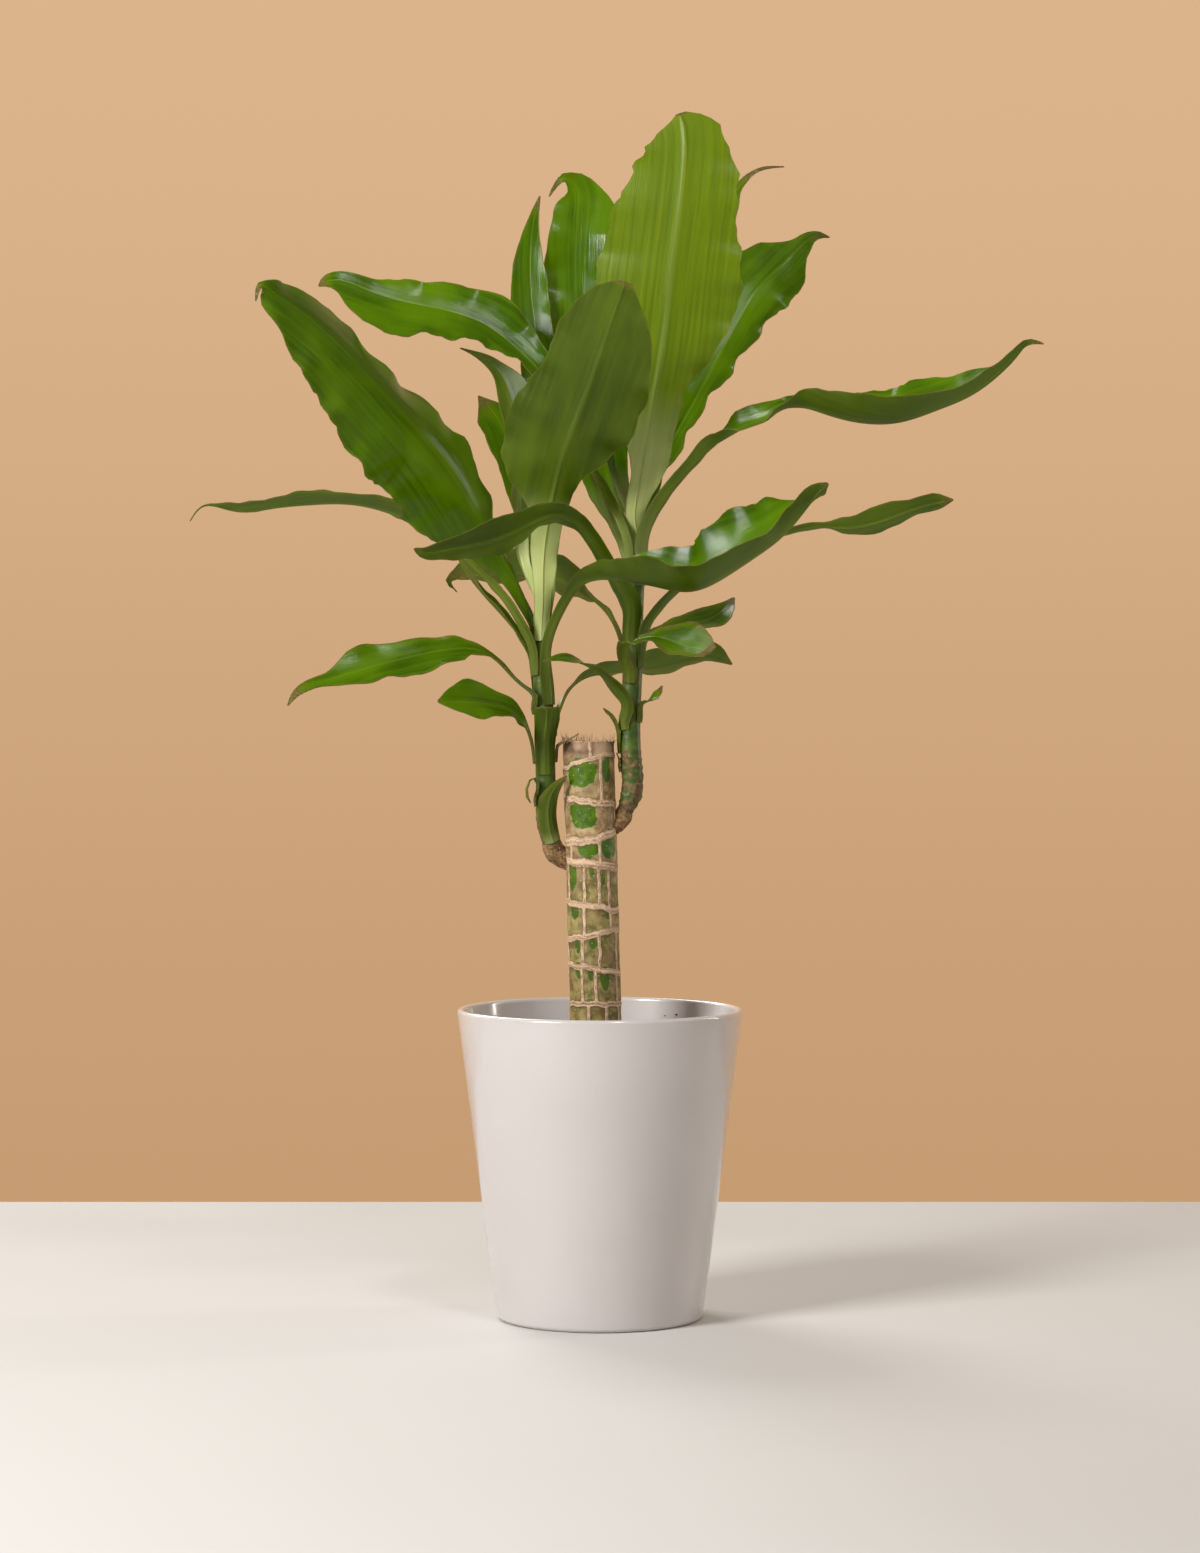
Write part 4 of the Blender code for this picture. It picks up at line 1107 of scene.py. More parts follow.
def wave_margins(grid, along, widths, hugging, wave, rng):
    normal = unit(np.cross(np.gradient(grid, axis=0), np.gradient(grid, axis=1)))
    length = along[-1]
    ends = np.sin(np.pi * np.clip(along / length, 0, 1)) ** 0.6 * (1 - hugging)
    for side, width in zip((-1, 1), widths):
        slow, quick = rng.uniform(*SLOW_WAVES), rng.uniform(*QUICK_WAVES)
        phases = rng.uniform(0, 2 * math.pi, 2)
        height = np.sin(along / slow * 2 * math.pi + phases[0])
        height += QUICK_SHARE * np.sin(along / quick * 2 * math.pi + phases[1])
        height *= wave * MM * ends * width / (width + CALMING_WIDTH)
        reach = np.clip(ACROSS * side, 0, 1) ** WAVE_REACH
        grid = grid + normal * (height[:, None] * reach)[..., None]
    return grid


def thick_leaf(grid):
    """Points and faces of a closed leaf about its middle surface."""
    rows, columns, _ = grid.shape
    normal = unit(np.cross(np.gradient(grid, axis=1), np.gradient(grid, axis=0)))
    share = np.abs(ACROSS)
    thickness = THICKNESS + (MARGIN_THICKNESS - THICKNESS) * share
    width = np.linalg.norm(grid[:, -1] - grid[:, 0], axis=1)
    ridge = np.clip(1 - share / KEEL_SHARE, 0, 1)
    keel = RIB_DEPTH * ridge[None] * smoothstep(width / FULL_KEEL_WIDTH)[:, None]
    upper = grid + normal * (thickness[None] / 2 - GROOVE_SHARE * keel)[..., None]
    lower = grid - normal * (thickness[None] / 2 + keel)[..., None]
    points = np.concatenate([upper.reshape(-1, 3), lower.reshape(-1, 3)])
    under = rows * columns
    index = np.arange(under).reshape(rows, columns)
    a, b, c, d = index[:-1, :-1], index[:-1, 1:], index[1:, 1:], index[1:, :-1]
    faces = np.stack([a, b, c, d], -1).reshape(-1, 4).tolist()
    faces += (np.stack([a, d, c, b], -1).reshape(-1, 4) + under).tolist()
    rim = [*index[0], *index[1:, -1], *index[-1, -2::-1], *index[-2:0:-1, 0]]
    faces += [(int(q), int(p), int(p) + under, int(q) + under) for p, q in zip(rim, rim[1:] + rim[:1])]
    return points, faces


# %% [markdown]
# One paint serves every leaf, because all its differences come from numbers on the points: how
# far a point is from the midrib, the margin and the tip, which face it is on, and how pale or
# dry the leaf is. The upper face is a waxy deep green with fine veins along it. The underside is
# duller and more olive, with a pale raised midrib; on a leaf whose pale number is above 1 it
# also carries a painted glow, brighter and yellower, of sun shining through. Margins and tips
# are brown and dry, and a weak translucent part lets light through the blade.


# %% Leaf paint
GLOW_SHARE = 0.36
GLOW_COLOUR = (0.42, 0.58, 0.015)


def upper_green(paint, across, share, vein, streak, cloud):
    """Deep green in fine stripes, with lighter clouds and a faint midrib."""
    green = paint.mix(streak.step(0.3, 0.7), (0.024, 0.070, 0.0002), (0.066, 0.165, 0.0004))
    green = paint.mix(cloud.step(0.42, 0.68) * 0.6, green, (0.135, 0.275, 0.001))
    green = paint.mix(vein.step(0.52, 0.78) * 0.22, green, (0.15, 0.28, 0.004))
    rib = across.size().step(share * -0.9 + 1.5, share * -0.4 + 0.5)
    return paint.mix(rib * 0.32, green, (0.20, 0.31, 0.02))


def under_green(paint, across, share, pale, vein, streak, cloud):
    """Olive green with a pale midrib; a leaf whose pale number is above 1 gets a painted glow, brighter and
    yellower, of sun shining through it.
    """
    green = paint.mix(streak.step(0.3, 0.7), (0.038, 0.060, 0.0005), (0.070, 0.104, 0.002))
    green = paint.mix(cloud.step(0.42, 0.68) * 0.4, green, (0.120, 0.165, 0.004))
    green = paint.mix(vein.step(0.52, 0.78) * 0.25, green, (0.17, 0.22, 0.02))
    # Painted light: a brighter, yellower green that stands for sun shining through the blade, mixed in where
    # pale is above 1.
    sunlit = paint.mix(streak.step(0.25, 0.75), (0.13, 0.21, 0.002), (0.23, 0.32, 0.006))
    green = paint.mix(pale.step(1.0, 2.0) * 0.75, green, sunlit)
    rib = across.size().step(share * -2.6 + 3.4, share * -1.5 + 2.0)
    rib_share = (share * -0.5 + 0.75) * (pale.step(0.8, 2.0) * 0.6 + 0.4)
    return paint.mix(rib * rib_share, green, (0.27, 0.34, 0.06))


def browning(margin, tip, dry, grain, streak, cloud):
    """Shares of dry brown, and of the yellow halo round it."""
    ragged = grain * 0.9 + streak * 0.5
    at_edge = (margin + ragged - 0.70).step(1.25, 0.75)
    at_tip = (tip + ragged * 0.5 - 0.35).step(1.25, 0.75)
    blotch = (grain * 0.35 + cloud * 0.9 + dry * 0.9).step(0.96, 1.04)
    edge_halo = (margin + ragged * 0.6 - 0.4).step(4.5, 1.0)
    tip_halo = (tip + ragged * 0.5).step(2.6, 1.2)
    return (at_edge * 0.75).at_least(at_tip).at_least(blotch), edge_halo.at_least(tip_halo)


def let_light_through(paint):
    """Mixes a translucent share into the finished material."""
    glow = paint.node("ShaderNodeBsdfTranslucent", None, {"Color": GLOW_COLOUR})
    body = Signal(paint, paint.shader.outputs[0])
    both = paint.node("ShaderNodeMixShader", None, {0: GLOW_SHARE, 1: body, 2: glow})
    paint.join(both, paint.tree.nodes["Material Output"].inputs["Surface"])


def leaf_paint():
    paint = Paint("leaf_blade", Specular_IOR_Level=0.3)
    across, along, margin = paint.numbers("blade")
    share, upper, seed = paint.numbers("leaf")
    tip, dry, pale = paint.numbers("age")
    vein = paint.clouds(paint.vector(across * 1.9, along * 0.02, seed * 7), 1.0, 2.0)
    streak = paint.clouds(paint.vector(across * 0.42, along * 0.012, seed * 5), 1.0, 3.0)
    cloud = paint.clouds(paint.vector(across * 0.05, along * 0.022, seed * 3), 1.0, 2.0)
    grain = paint.clouds(paint.vector(across * 0.9, along * 0.9, seed), 1.0, 4.0, 0.65)
    below = under_green(paint, across, share, pale, vein, streak, cloud)
    green = paint.mix(upper, below, upper_green(paint, across, share, vein, streak, cloud))
    base = (share - pale.at_most(1.0) * 0.30).step(0.10, -0.12) * pale.step(0.02, 0.6)
    green = paint.mix(base, green, paint.mix(streak, (0.46, 0.53, 0.16), (0.70, 0.74, 0.34)))
    dry_share, halo = browning(margin, tip, dry, grain, streak, cloud)
    green = paint.mix(halo * 0.30, green, (0.24, 0.27, 0.012))
    brown = paint.mix(grain.step(0.3, 0.7), (0.060, 0.034, 0.008), (0.26, 0.17, 0.055))
    roughness = vein * 0.08 + 0.15 + (1 - upper) * 0.18
    height = vein * 0.65 + streak * 0.35 + dry_share * grain
    material = paint.done(
        Base_Color=paint.mix(dry_share, green, brown),
        Roughness=roughness + dry_share * 0.35,
        Normal=paint.bump(height, 0.00035, 0.55))
    let_light_through(paint)
    return material


leaf_finish = leaf_paint()
print("leaf paint:", len(leaf_finish.node_tree.nodes), "nodes")


# %% A helper that adds a leaf
LEAF_SHARPNESS = 70
USUAL_LOOK = {"wave": 1.4, "edge": 0.4, "tip": 4.0, "dry": 0.0, "pale": 0.1}


def add_leaf(index, shoot, name, slot="leaf_blade", look=None, **shape):
    """Builds one leaf on its shoot, with its own waves, age and colour."""
    look = {**USUAL_LOOK, **(look or {})}
    rng = np.random.default_rng(index)
    grid, along, widths, hugging = blade(shoot, index, **shape)
    grid = wave_margins(grid, along, widths, hugging, look["wave"], rng)
    points, faces = thick_leaf(grid)
    piece = add_piece(name + "_blade", points, faces, leaf_finish, name, slot, sharp=LEAF_SHARPNESS)
    width = np.where(ACROSS[None] < 0, widths[0][:, None], widths[1][:, None])
    across = ACROSS[None] * width / MM
    margin = (width / MM - np.abs(across)) / look["edge"]
    along_mm = np.broadcast_to(along[:, None] / MM, across.shape)
    one = np.ones_like(across)
    seed = rng.uniform(0, 9)
    share = along_mm * MM / along[-1]
    from_tip = (along[-1] / MM - along_mm) / look["tip"]
    for key, faces_rows in (
            ("blade", [(across, along_mm, margin)] * 2),
            ("leaf", [(share, one * side, one * seed) for side in (1, 0)]),
            ("age", [(from_tip, one * look["dry"], one * look["pale"])] * 2)):
        rows = [np.stack([c.ravel() for c in columns], -1) for columns in faces_rows]
        add_numbers(piece, key, np.concatenate(rows))


# %% [markdown]
# The tables below are the plant itself. A row gives the height of a leaf's base up its shoot,
# half the girth of its clasp and the roll there; then the midrib as x, y, z, roll, left half
# width and right half width, in millimetres and degrees from the foot of the shoot. look says
# how wavy the margins are, how wide their brown line is, how long the dry tip is, how dry the
# whole leaf is and how pale its base is; above 1, pale also paints a glow of sun shining
# through the underside.
#
# The foot of the left shoot carries small old leaves: a curled bract, a green one in front, a
# brown stub, and the green sheath of a leaf that was cut away.

# %% Left shoot: bracts and the cut sheath
add_leaf(
    1, left_shoot, "left_shoot_curled_bract", slot="dry_bract",
    look={"wave": 0.4, "edge": 0.5, "tip": 3, "dry": 0.16, "pale": 0},
    base=21, clasp=2, turn=110, fold=5, midrib=[
        (-8, -11.5, 33, 110, 2.5, 2.5), (-10.5, -13.5, 37.5, 100, 2.5, 2.5),
        (-14, -15, 28.5, 70, 2.5, 2.5), (-12, -15, 23.5, 70, 0.5, 0.5)])
add_leaf(
    2, left_shoot, "left_shoot_front_bract", slot="dry_bract",
    look={"wave": 0.4, "edge": 0.7, "tip": 4, "dry": 0.34, "pale": 0.3},
    base=0.5, clasp=6.5, turn=190, fold=5, midrib=[
        (-2, -11, 20.5, 190, 5.5, 7), (0.5, -13, 29.5, 190, 4, 4.5), (8.5, -15, 39, 190, 0.5, 0.5)])
add_leaf(
    3, left_shoot, "left_shoot_dry_stub", slot="dry_bract",
    look={"wave": 0.2, "tip": 9, "dry": 0.5, "pale": 0},
    base=46.5, clasp=3, turn=-80, fold=5, midrib=[
        (4, -8, 56, -80, 2.5, 2.5), (9.5, -12, 59.5, -80, 1.5, 1.5),
        (15.5, -13, 63, -80, 0.5, 0.5)])
add_leaf(
    4, left_shoot, "left_shoot_cut_sheath", slot="dry_bract",
    look={"wave": 0.2, "edge": 0.3, "tip": 0.6, "pale": 0},
    base=39.5, clasp=6.5, turn=180, fold=0, curl=50, midrib=[
        (-3.5, -11.5, 62, 180, 7, 7.5), (-2.5, -12.5, 72, 180, 7.5, 8),
        (-2.5, -14, 78, 180, 7, 7.5)])

# %% [markdown]
# The oldest living leaves stand lowest. They are short and narrow, with dry points, and hang
# out to the sides.

# %% Left shoot: low leaves
add_leaf(
    5, left_shoot, "left_leaf_short",
    look={"wave": 2.0, "edge": 0.25, "tip": 2, "pale": 0},
    base=45.5, clasp=3.5, turn=92, midrib=[
        (-12.5, -7, 60.5, 92, 4, 4), (-22, -22, 75.5, 55, 7.5, 7.5), (-32, -31.5, 79, 42, 10, 10),
        (-43, -41, 81, 38, 13, 13.5), (-52.5, -49.5, 81.5, 38, 9.5, 10.5),
        (-63, -57, 81.5, 38, 1, 1)])
add_leaf(
    6, left_shoot, "left_leaf_low_right",
    look={"wave": 1.8, "edge": 0.3, "pale": 0},
    base=61.5, clasp=5, turn=-80, midrib=[
        (5, -1, 77.5, -80, 5, 5), (9, 5.5, 86.5, -90, 4.5, 4.5), (28.5, 28.5, 98, -115, 8.5, 8.5),
        (60, 52, 101, -115, 16.5, 16.5), (77.5, 62.5, 105, -118, 15.5, 15.5),
        (93.5, 70.5, 107.5, -120, 10, 10), (105.5, 76, 102.5, -120, 1, 1)])
add_leaf(
    7, left_shoot, "left_leaf_low_left",
    look={"wave": 1.7, "edge": 0.5, "tip": 12, "pale": 0},
    base=74, clasp=5, turn=100, midrib=[
        (-10.5, -8, 84, 100, 5, 5), (-17, -12, 90.5, 95, 4.5, 4.5), (-35, -23.5, 107.5, 70, 4, 4),
        (-46, -29, 111, 50, 5.5, 5.5), (-54, -33, 111, 40, 11.5, 9), (-85, -47, 105, 36, 15.5, 11),
        (-100, -54, 101, 36, 14.5, 15), (-124, -65.5, 93.5, 40, 6, 5), (-141, -73.5, 86, 45, 3, 3),
        (-145.5, -77, 79.5, 45, 0.5, 0.5)])
add_leaf(
    8, left_shoot, "left_leaf_back",
    look={"wave": 1.2, "tip": 14, "dry": 0.25},
    base=88, clasp=4, turn=42, midrib=[
        (-13, 5, 108, 60, 4.5, 4.5), (-28.5, 16.5, 131, 80, 6, 6), (-53, 37.5, 162, 90, 8.5, 8.5),
        (-61, 46, 180, 90, 1, 1)])

# %% [markdown]
# The middle leaves are the broadest. One spreads far left, one folds forward across the right
# shoot, and one leans out with its glossy upper face to the light.

# %% Left shoot: spreading leaves
add_leaf(
    9, left_shoot, "left_leaf_long_left",
    look={"wave": 1.6, "edge": 0.5, "tip": 12},
    base=96, clasp=4.5, turn=125, midrib=[
        (-12, -6, 110.5, 125, 4.5, 4.5), (-18.5, -9, 125.5, 125, 5, 5),
        (-28, -8, 140.5, 120, 4.5, 4.5), (-41.5, 3.5, 155, 115, 4.5, 4.5),
        (-54, 14, 167, 110, 6, 6), (-66, 19, 176, 108, 10.5, 10.5),
        (-81, 21, 185, 108, 13.5, 13.5), (-117, 25, 196, 98, 14.5, 14.5),
        (-141, 31, 196, 102, 14.5, 14.5), (-164, 37, 194, 100, 13.5, 13.5),
        (-184, 42, 192.5, 98, 10.5, 10.5), (-205.5, 48, 194.5, 90, 2, 2),
        (-212.5, 51, 186.5, 90, 0.5, 0.5)])
add_leaf(
    10, left_shoot, "left_leaf_front_right",
    look={"wave": 0.7, "edge": 0.2, "tip": 2, "pale": 0.1},
    base=79.5, clasp=6, turn=-135, fold=34, curl=30, midrib=[
        (-1.5, -10.5, 108, -135, 5.5, 5.5), (9, -25, 137, -135, 5, 5),
        (17.5, -33.5, 147.5, -125, 7, 7), (28, -40, 151, -100, 11.5, 11.5),
        (42, -47, 150, -76, 19, 21.5), (58, -54, 147, -72, 28, 32.5),
        (78, -62, 144, -71, 30, 37), (94, -69, 150, -72, 34.5, 36), (111, -77, 161, -75, 38.5, 30),
        (127, -85, 173, -82, 35, 21.5), (140, -92, 188, -106, 23, 12.5),
        (149, -97.5, 198.5, -135, 5.5, 5.5), (152.5, -99, 201.5, -135, 1, 1)])
add_leaf(
    11, left_shoot, "left_leaf_broad_left",
    look={"wave": 1.5, "edge": 0.45, "tip": 8, "pale": 0.2},
    base=108, clasp=3.5, turn=68, fold=-26, curl=-8, midrib=[
        (-12, 3, 126.5, 60, 4.5, 4.5), (-25.5, -4.5, 158, 48, 8.5, 8),
        (-41.5, -23, 186.5, 38, 28.5, 26), (-51, -33, 202, 36, 35, 33),
        (-63, -43, 219, 38, 38, 37), (-84, -59, 243, 44, 39, 35), (-104, -74, 265, 46, 34.5, 30),
        (-124, -88, 285, 46, 27.5, 26.5), (-142, -100, 299, 42, 17.5, 16.5),
        (-152, -107.5, 306, 40, 10, 10), (-157, -110, 309, 40, 3.5, 2.5),
        (-159.5, -114, 300, 30, 0.5, 0.5)])

# %% [markdown]
# The youngest leaves stand upright round the growing point. Their bases are creamy, because
# light has not reached them long.

# %% Left shoot: crown
add_leaf(
    12, left_shoot, "left_leaf_front_upright",
    look={"wave": 2.2, "edge": 0.2, "tip": 2, "pale": 1},
    base=116, clasp=5, turn=180, fold=6, curl=6, midrib=[
        (-5, -11, 139, 180, 5, 5), (-4.5, -16, 162, 180, 8, 7.5),
        (-2, -21.5, 181.5, 180, 8.5, 9.5), (3, -31, 204, 180, 11.5, 29.5),
        (8, -41, 223, 180, 25, 37), (16, -54, 244, 180, 34.5, 32.5),
        (33, -81, 289.5, 176, 24.5, 24), (38.5, -89.5, 303.5, 175, 13, 16.5),
        (42, -94, 312, 175, 3.5, 3.5)])
add_leaf(
    13, left_shoot, "left_leaf_pale",
    look={"wave": 1.3, "edge": 0.3, "tip": 6, "pale": 1},
    base=124.5, clasp=3.5, turn=120, fold=14, midrib=[
        (-9, -4, 138, 122, 4, 4), (-15, -3, 155.5, 130, 5, 4.5), (-19, 11.5, 191, 140, 8, 6),
        (-20, 23, 221, 145, 11, 7.5), (-22, 32, 241, 150, 14, 10), (-26, 38.5, 261, 150, 13, 8.5),
        (-32.5, 42, 274.5, 150, 5.5, 5.5), (-54, 46, 287, 120, 0.5, 0.5)])
add_leaf(
    14, left_shoot, "left_leaf_behind_pale",
    look={"wave": 1.2, "tip": 9, "pale": 0.3},
    base=100.5, clasp=3.5, turn=-5, midrib=[
        (-4.5, 8, 132.5, -5, 4, 4), (-10, 25.5, 168.5, 10, 7, 7), (-17, 42.5, 198.5, 20, 9.5, 9.5),
        (-24, 59, 225.5, 15, 12, 10.5), (-32.5, 71.5, 246.5, 15, 12, 9.5),
        (-44.5, 81, 261.5, 15, 0.5, 0.5)])
add_leaf(
    15, left_shoot, "left_leaf_narrow_upright",
    look={"wave": 1.3, "edge": 0.35, "tip": 8, "pale": 0.5},
    base=117.5, clasp=3.5, turn=-50, midrib=[
        (-0.5, 6, 145, -40, 4, 4), (-2, 32.5, 209.5, 0, 7.5, 7.5), (-8, 56, 280.5, 0, 11.5, 11.5),
        (-12.5, 65, 313.5, 0, 12.5, 11), (-10, 75, 371.5, 0, 2, 2), (-8, 76, 379, 0, 0.5, 0.5)])

# %% [markdown]
# The right shoot starts with a dry bud scale and a curled bract, then short leaves, some of
# them patched with brown.

# %% Right shoot: scales and low leaves
add_leaf(
    16, right_shoot, "right_shoot_bud_scale", slot="dry_bract",
    look={"wave": 0, "edge": 0.8, "tip": 6, "dry": 0.3, "pale": 0},
    base=23, clasp=2.5, turn=95, fold=5, midrib=[
        (-3, -3, 30, 95, 2.5, 2.5), (-4.5, -4, 34, 95, 0.5, 0.5)])
add_leaf(
    17, right_shoot, "right_shoot_curled_bract", slot="dry_bract",
    look={"wave": 0.2, "edge": 0.7, "tip": 4, "dry": 0.12, "pale": 0},
    base=33.5, clasp=3.5, turn=95, fold=5, midrib=[
        (-4, -2, 46.5, 95, 4, 4), (-7.5, -2, 54.5, 105, 4, 4), (-12, -3, 59.5, 120, 0.5, 0.5)])
add_leaf(
    18, right_shoot, "right_leaf_tiny",
    look={"wave": 0.4, "edge": 0.5, "tip": 4, "pale": 0},
    base=51.5, clasp=3.5, turn=-120, midrib=[
        (10, -6, 61.5, -120, 3, 3), (18, -11, 66, -60, 4.5, 4.5), (21.5, -12, 72.5, -50, 0.5, 0.5)])
add_leaf(
    19, right_shoot, "right_leaf_narrow_left",
    look={"wave": 0.8, "edge": 0.4, "tip": 3, "pale": 0},
    base=47, clasp=5, turn=135, midrib=[
        (0.5, -8, 60, 140, 5.5, 5.5), (-3.5, -14.5, 68.5, 140, 5, 5), (-16, -30, 81, 110, 5, 4.5),
        (-32.5, -46.5, 87.5, 65, 5.5, 5.5), (-45.5, -58, 86.5, 65, 0.5, 0.5)])
add_leaf(
    20, right_shoot, "right_leaf_brown_patched",
    look={"wave": 1.3, "edge": 1.6, "tip": 7, "dry": 0.16, "pale": 0},
    base=74, clasp=4.5, turn=-190, midrib=[
        (1.5, -8.5, 86, -180, 4.5, 4.5), (0.5, -14.5, 94, -130, 5.5, 5.5),
        (7, -23.5, 98.5, -80, 5.5, 10), (17, -36, 100, -55, 8, 11.5), (26, -50, 97.5, -50, 18, 11),
        (35.5, -63.5, 94.5, -45, 14.5, 12.5), (47, -82, 91, -40, 4.5, 4.5)])
add_leaf(
    21, right_shoot, "right_leaf_small_dark",
    look={"wave": 1.2, "edge": 1.0, "tip": 8, "dry": 0.05, "pale": 0},
    base=82.5, clasp=4.5, turn=-60, midrib=[
        (12, 6, 97, -60, 4.5, 4.5), (21.5, 18, 104, -60, 4.5, 4.5), (34, 32, 107.5, -50, 7, 7),
        (53.5, 55, 113, -45, 10, 10.5), (65, 70, 124, -45, 1, 1)])
add_leaf(
    22, right_shoot, "right_leaf_back_left",
    look={"wave": 1.6, "edge": 0.6, "tip": 20, "dry": 0.1, "pale": 0},
    base=90, clasp=4.5, turn=80, midrib=[
        (-3, 3, 100, 80, 4.5, 4.5), (-17, 24.5, 122, 90, 7.5, 7.5), (-26, 35, 128.5, 120, 13, 13),
        (-37, 46, 134, 130, 17.5, 17.5), (-70, 70, 139, 120, 19, 19),
        (-86, 80, 138, 120, 15.5, 15.5), (-98, 87.5, 136.5, 115, 9, 9),
        (-103, 90.5, 134.5, 100, 5, 5), (-99.5, 95, 128, 80, 0.5, 0.5)])

# %% [markdown]
# Four long leaves arch away from the right shoot, two to each side.

# %% Right shoot: spreading leaves
add_leaf(
    23, right_shoot, "right_leaf_right",
    look={"wave": 1.5, "edge": 0.25, "tip": 5, "pale": 0.1},
    base=82.5, clasp=4, turn=-124, midrib=[
        (11.5, -7.5, 99.5, -128, 5, 5), (38.5, -20, 133.5, -115, 4.5, 4.5),
        (96.5, -26, 160.5, -115, 4.5, 4.5), (112, -28.5, 162.5, -125, 3, 3),
        (125, -30, 162, -130, 8, 8), (151, -36, 168, -130, 11.5, 11.5),
        (163.5, -39.5, 172.5, -130, 7.5, 8), (174.5, -42.5, 175.5, -130, 7, 7.5),
        (184.5, -45, 177, -130, 0.5, 0.5)])
add_leaf(
    24, right_shoot, "right_leaf_front_left",
    look={"wave": 1.8, "edge": 0.25, "tip": 3, "pale": 0.1},
    base=97.5, clasp=6, turn=160, midrib=[
        (3.5, -9, 115.5, 160, 7, 7), (-3, -17, 130, 155, 6.5, 6.5), (-10.5, -27, 142.5, 150, 5, 5),
        (-40, -56, 168, 130, 8.5, 10.5), (-53, -64, 163, 130, 10, 14.5),
        (-69, -74, 155, 130, 13.5, 17), (-102, -92, 147, 130, 6.5, 7.5),
        (-110.5, -96.5, 146, 130, 4.5, 5), (-115.5, -100, 148, 130, 1, 1)])
add_leaf(
    25, right_shoot, "right_leaf_arched_left",
    look={"wave": 2.6, "edge": 0.2, "tip": 5, "pale": 0.3},
    base=134, clasp=5, turn=115, midrib=[
        (0, -6, 155.5, 120, 5.5, 5.5), (-10, 0, 179, 130, 5, 5), (-19.5, 6, 197.5, 120, 5, 5),
        (-37, 17, 231, 70, 7, 7), (-48, 23, 252, 45, 8, 10.5), (-63, 27, 268, 35, 10.5, 16),
        (-80, 29, 281, 32, 17.5, 20.5), (-101, 29, 289, 30, 22, 17.5),
        (-124, 28, 294, 30, 27.5, 14.5), (-147, 26.5, 300.5, 30, 22, 8.5),
        (-172, 22.5, 305.5, 30, 4.5, 4.5), (-176.5, 22, 303, 30, 0.5, 0.5)])
add_leaf(
    26, right_shoot, "right_leaf_long_right",
    look={"wave": 1.0, "edge": 0.2, "tip": 5, "pale": 0.3},
    base=130, clasp=5, turn=-135, fold=26, curl=26, midrib=[
        (12, -7, 153, -135, 6.5, 6.5), (39.5, -23, 198.5, -140, 5, 5),
        (48.5, -27, 207.5, -130, 7, 7), (57, -30, 213, -90, 8, 8), (68, -33, 219, -50, 10.5, 10.5),
        (79, -36, 223, -45, 10, 10), (90, -39, 229, -70, 7, 7), (99, -40, 230, -103, 15, 11.5),
        (113, -44, 226, -97, 29, 17), (132, -48, 221, -93, 39, 23.5),
        (154, -54, 221, -88, 41, 26), (173, -59, 227, -87, 37, 23.5), (192, -65, 235, -88, 27, 18.5),
        (208, -71, 247, -95, 17, 13), (217.5, -75, 257, -107, 7, 6.5),
        (223, -77, 262, -120, 3.5, 3.5), (231, -80, 261.5, -120, 0.5, 0.5)])
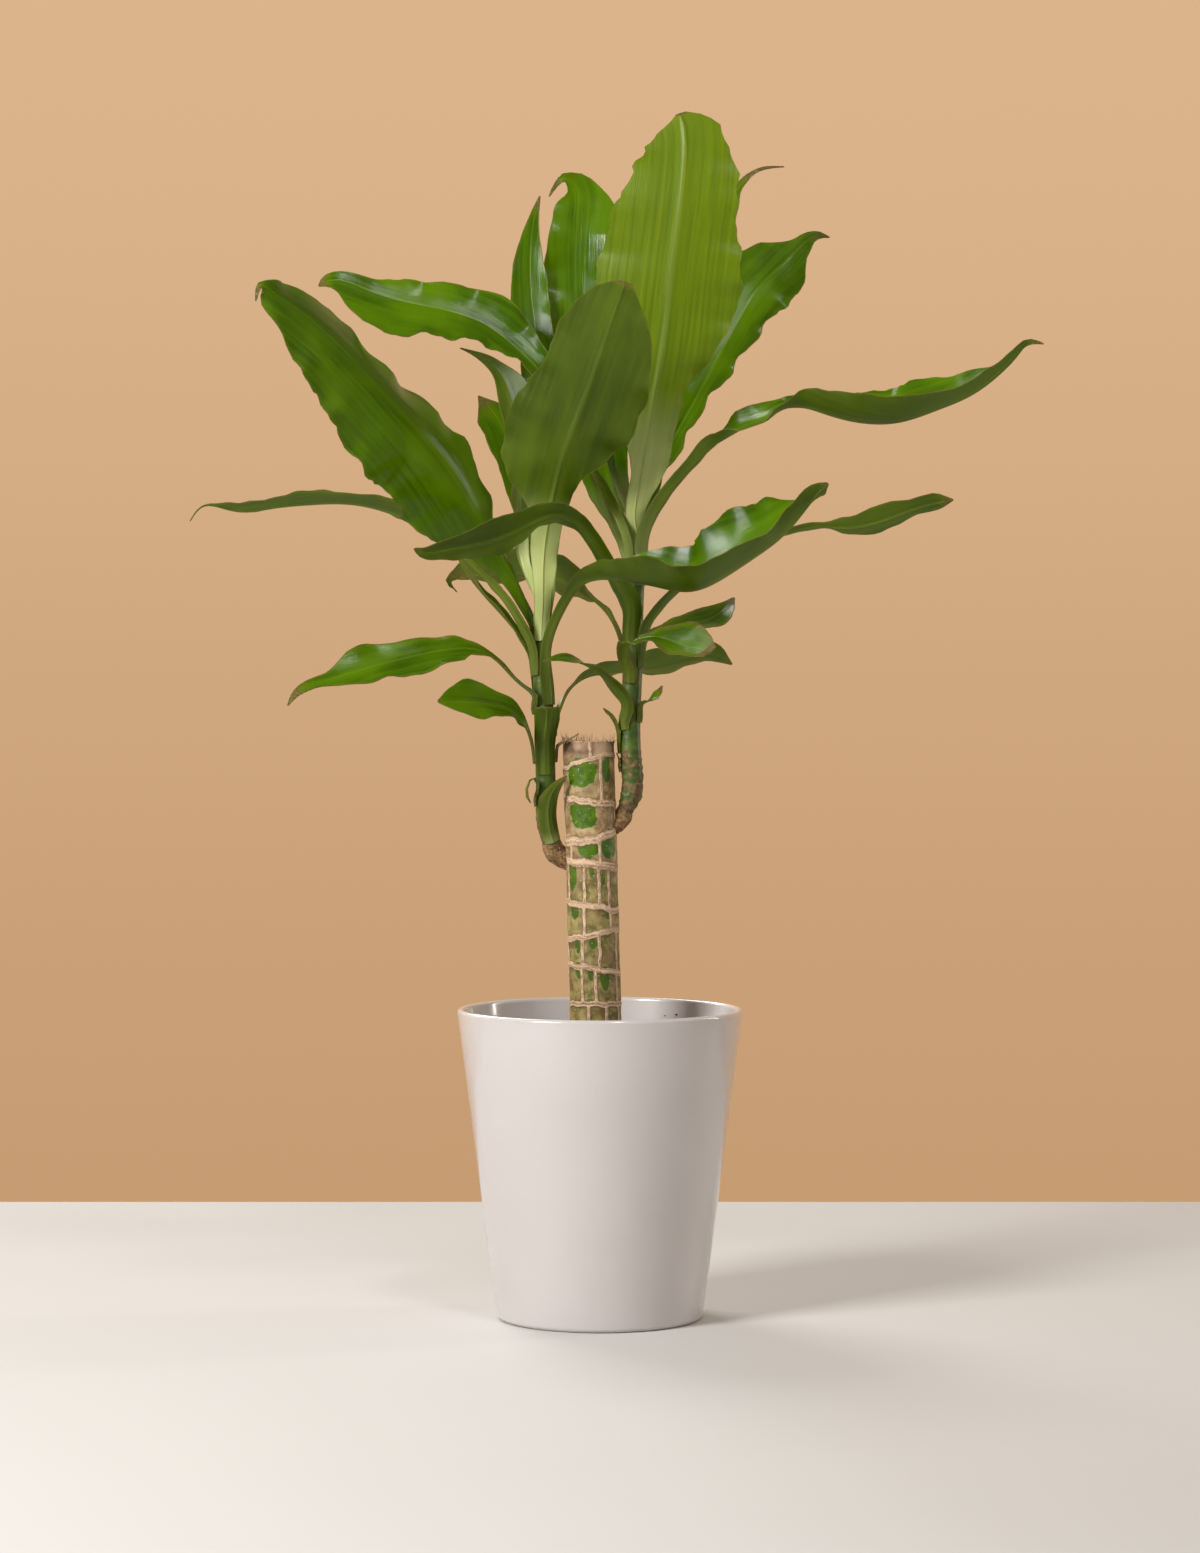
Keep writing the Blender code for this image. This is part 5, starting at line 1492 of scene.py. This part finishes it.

# %% [markdown]
# The tallest leaf shows its underside to the front, painted brighter and yellower for sun
# shining through it, with a broad pale midrib that widens to a cream base. The others stand
# behind it.

# %% Right shoot: crown
# pale 2 gives this leaf's underside the painted glow of sun shining through, as well as a cream base.
add_leaf(
    27, right_shoot, "right_leaf_tall_upright",
    look={"wave": 2.6, "edge": 0.15, "tip": 1.2, "pale": 2},
    base=146.5, clasp=5, turn=180, fold=4, curl=4, torn=0.26, midrib=[
        (6, -7, 167, 180, 5.5, 5.5), (9, -10, 189.5, 180, 10.5, 5.5),
        (13, -13, 212.5, 180, 15.5, 13.5), (17, -15, 238, 180, 17, 19),
        (22, -18, 266, 180, 28.5, 31.5), (25, -20, 291, 180, 41, 40.5),
        (28, -21, 316, 180, 38.5, 41), (34, -17.5, 367.5, 180, 28.5, 28.5),
        (33, -14.5, 392, 180, 15, 9.5), (31.5, -14, 397.5, 180, 3.5, 2.5)])
add_leaf(
    28, right_shoot, "right_leaf_right_upright",
    look={"wave": 2.8, "edge": 0.3, "tip": 8, "pale": 0.4},
    base=141, clasp=3, turn=-65, midrib=[
        (13, 8, 167.5, -45, 4, 4), (18, 19.5, 191, -35, 7, 6), (27, 31, 212, -30, 11.5, 9.5),
        (40, 45, 236, -20, 17.5, 8), (54, 60, 262, -15, 23.5, 13), (68, 73, 288, -10, 29.5, 17),
        (82, 84, 310, -5, 25, 21.5), (96, 92, 324, 0, 15.5, 16.5), (105.5, 96, 334, 20, 6, 7),
        (114.5, 98.5, 340.5, 50, 4, 4), (123, 100, 339.5, 60, 0.5, 0.5)])
add_leaf(
    29, right_shoot, "right_leaf_hidden_tip",
    look={"wave": 0.8, "edge": 0.5, "tip": 26, "dry": 0.05, "pale": 0.4},
    base=150.5, clasp=2.5, turn=11, midrib=[
        (11, 13, 168, 0, 3.5, 3.5), (16.5, 35.5, 203.5, 0, 8, 8), (26, 63, 246, 0, 13, 13),
        (38, 87, 295, 0, 15.5, 15.5), (61, 113, 357, 0, 8, 8), (71, 118.5, 373.5, -30, 2.5, 2.5),
        (80.5, 121, 381.5, -60, 2.5, 2.5), (97, 125, 384.5, -60, 0.5, 0.5)])
add_leaf(
    30, right_shoot, "right_leaf_inner",
    look={"wave": 0.6, "edge": 0.2, "tip": 4, "pale": 1},
    base=144.5, clasp=3.5, turn=80, midrib=[
        (3, 3, 164, 55, 4, 4), (-1, 9, 183.5, 40, 6, 5), (-9, 26, 229, 15, 10.5, 10.5),
        (-10.5, 34, 255.5, 10, 10.5, 10.5), (-8.5, 42, 288, 5, 0.5, 0.5)])
add_leaf(
    31, right_shoot, "right_leaf_back_upright",
    look={"wave": 2.2, "edge": 0.2, "tip": 10, "pale": 0.6},
    base=125, clasp=4, turn=30, midrib=[
        (0, 9, 153.5, 25, 4.5, 4.5), (-9.5, 23, 177, 15, 8, 8), (-23, 50.5, 230.5, 5, 15, 15),
        (-28, 73, 300, 0, 20, 20), (-27, 84, 354, 0, 14.5, 22.5), (-28.5, 85, 368, 0, 5.5, 10.5),
        (-33.5, 83, 372.5, 0, 3, 3.5), (-44, 80, 361.5, 0, 0.5, 0.5)])
print("leaves and bracts:", 31)
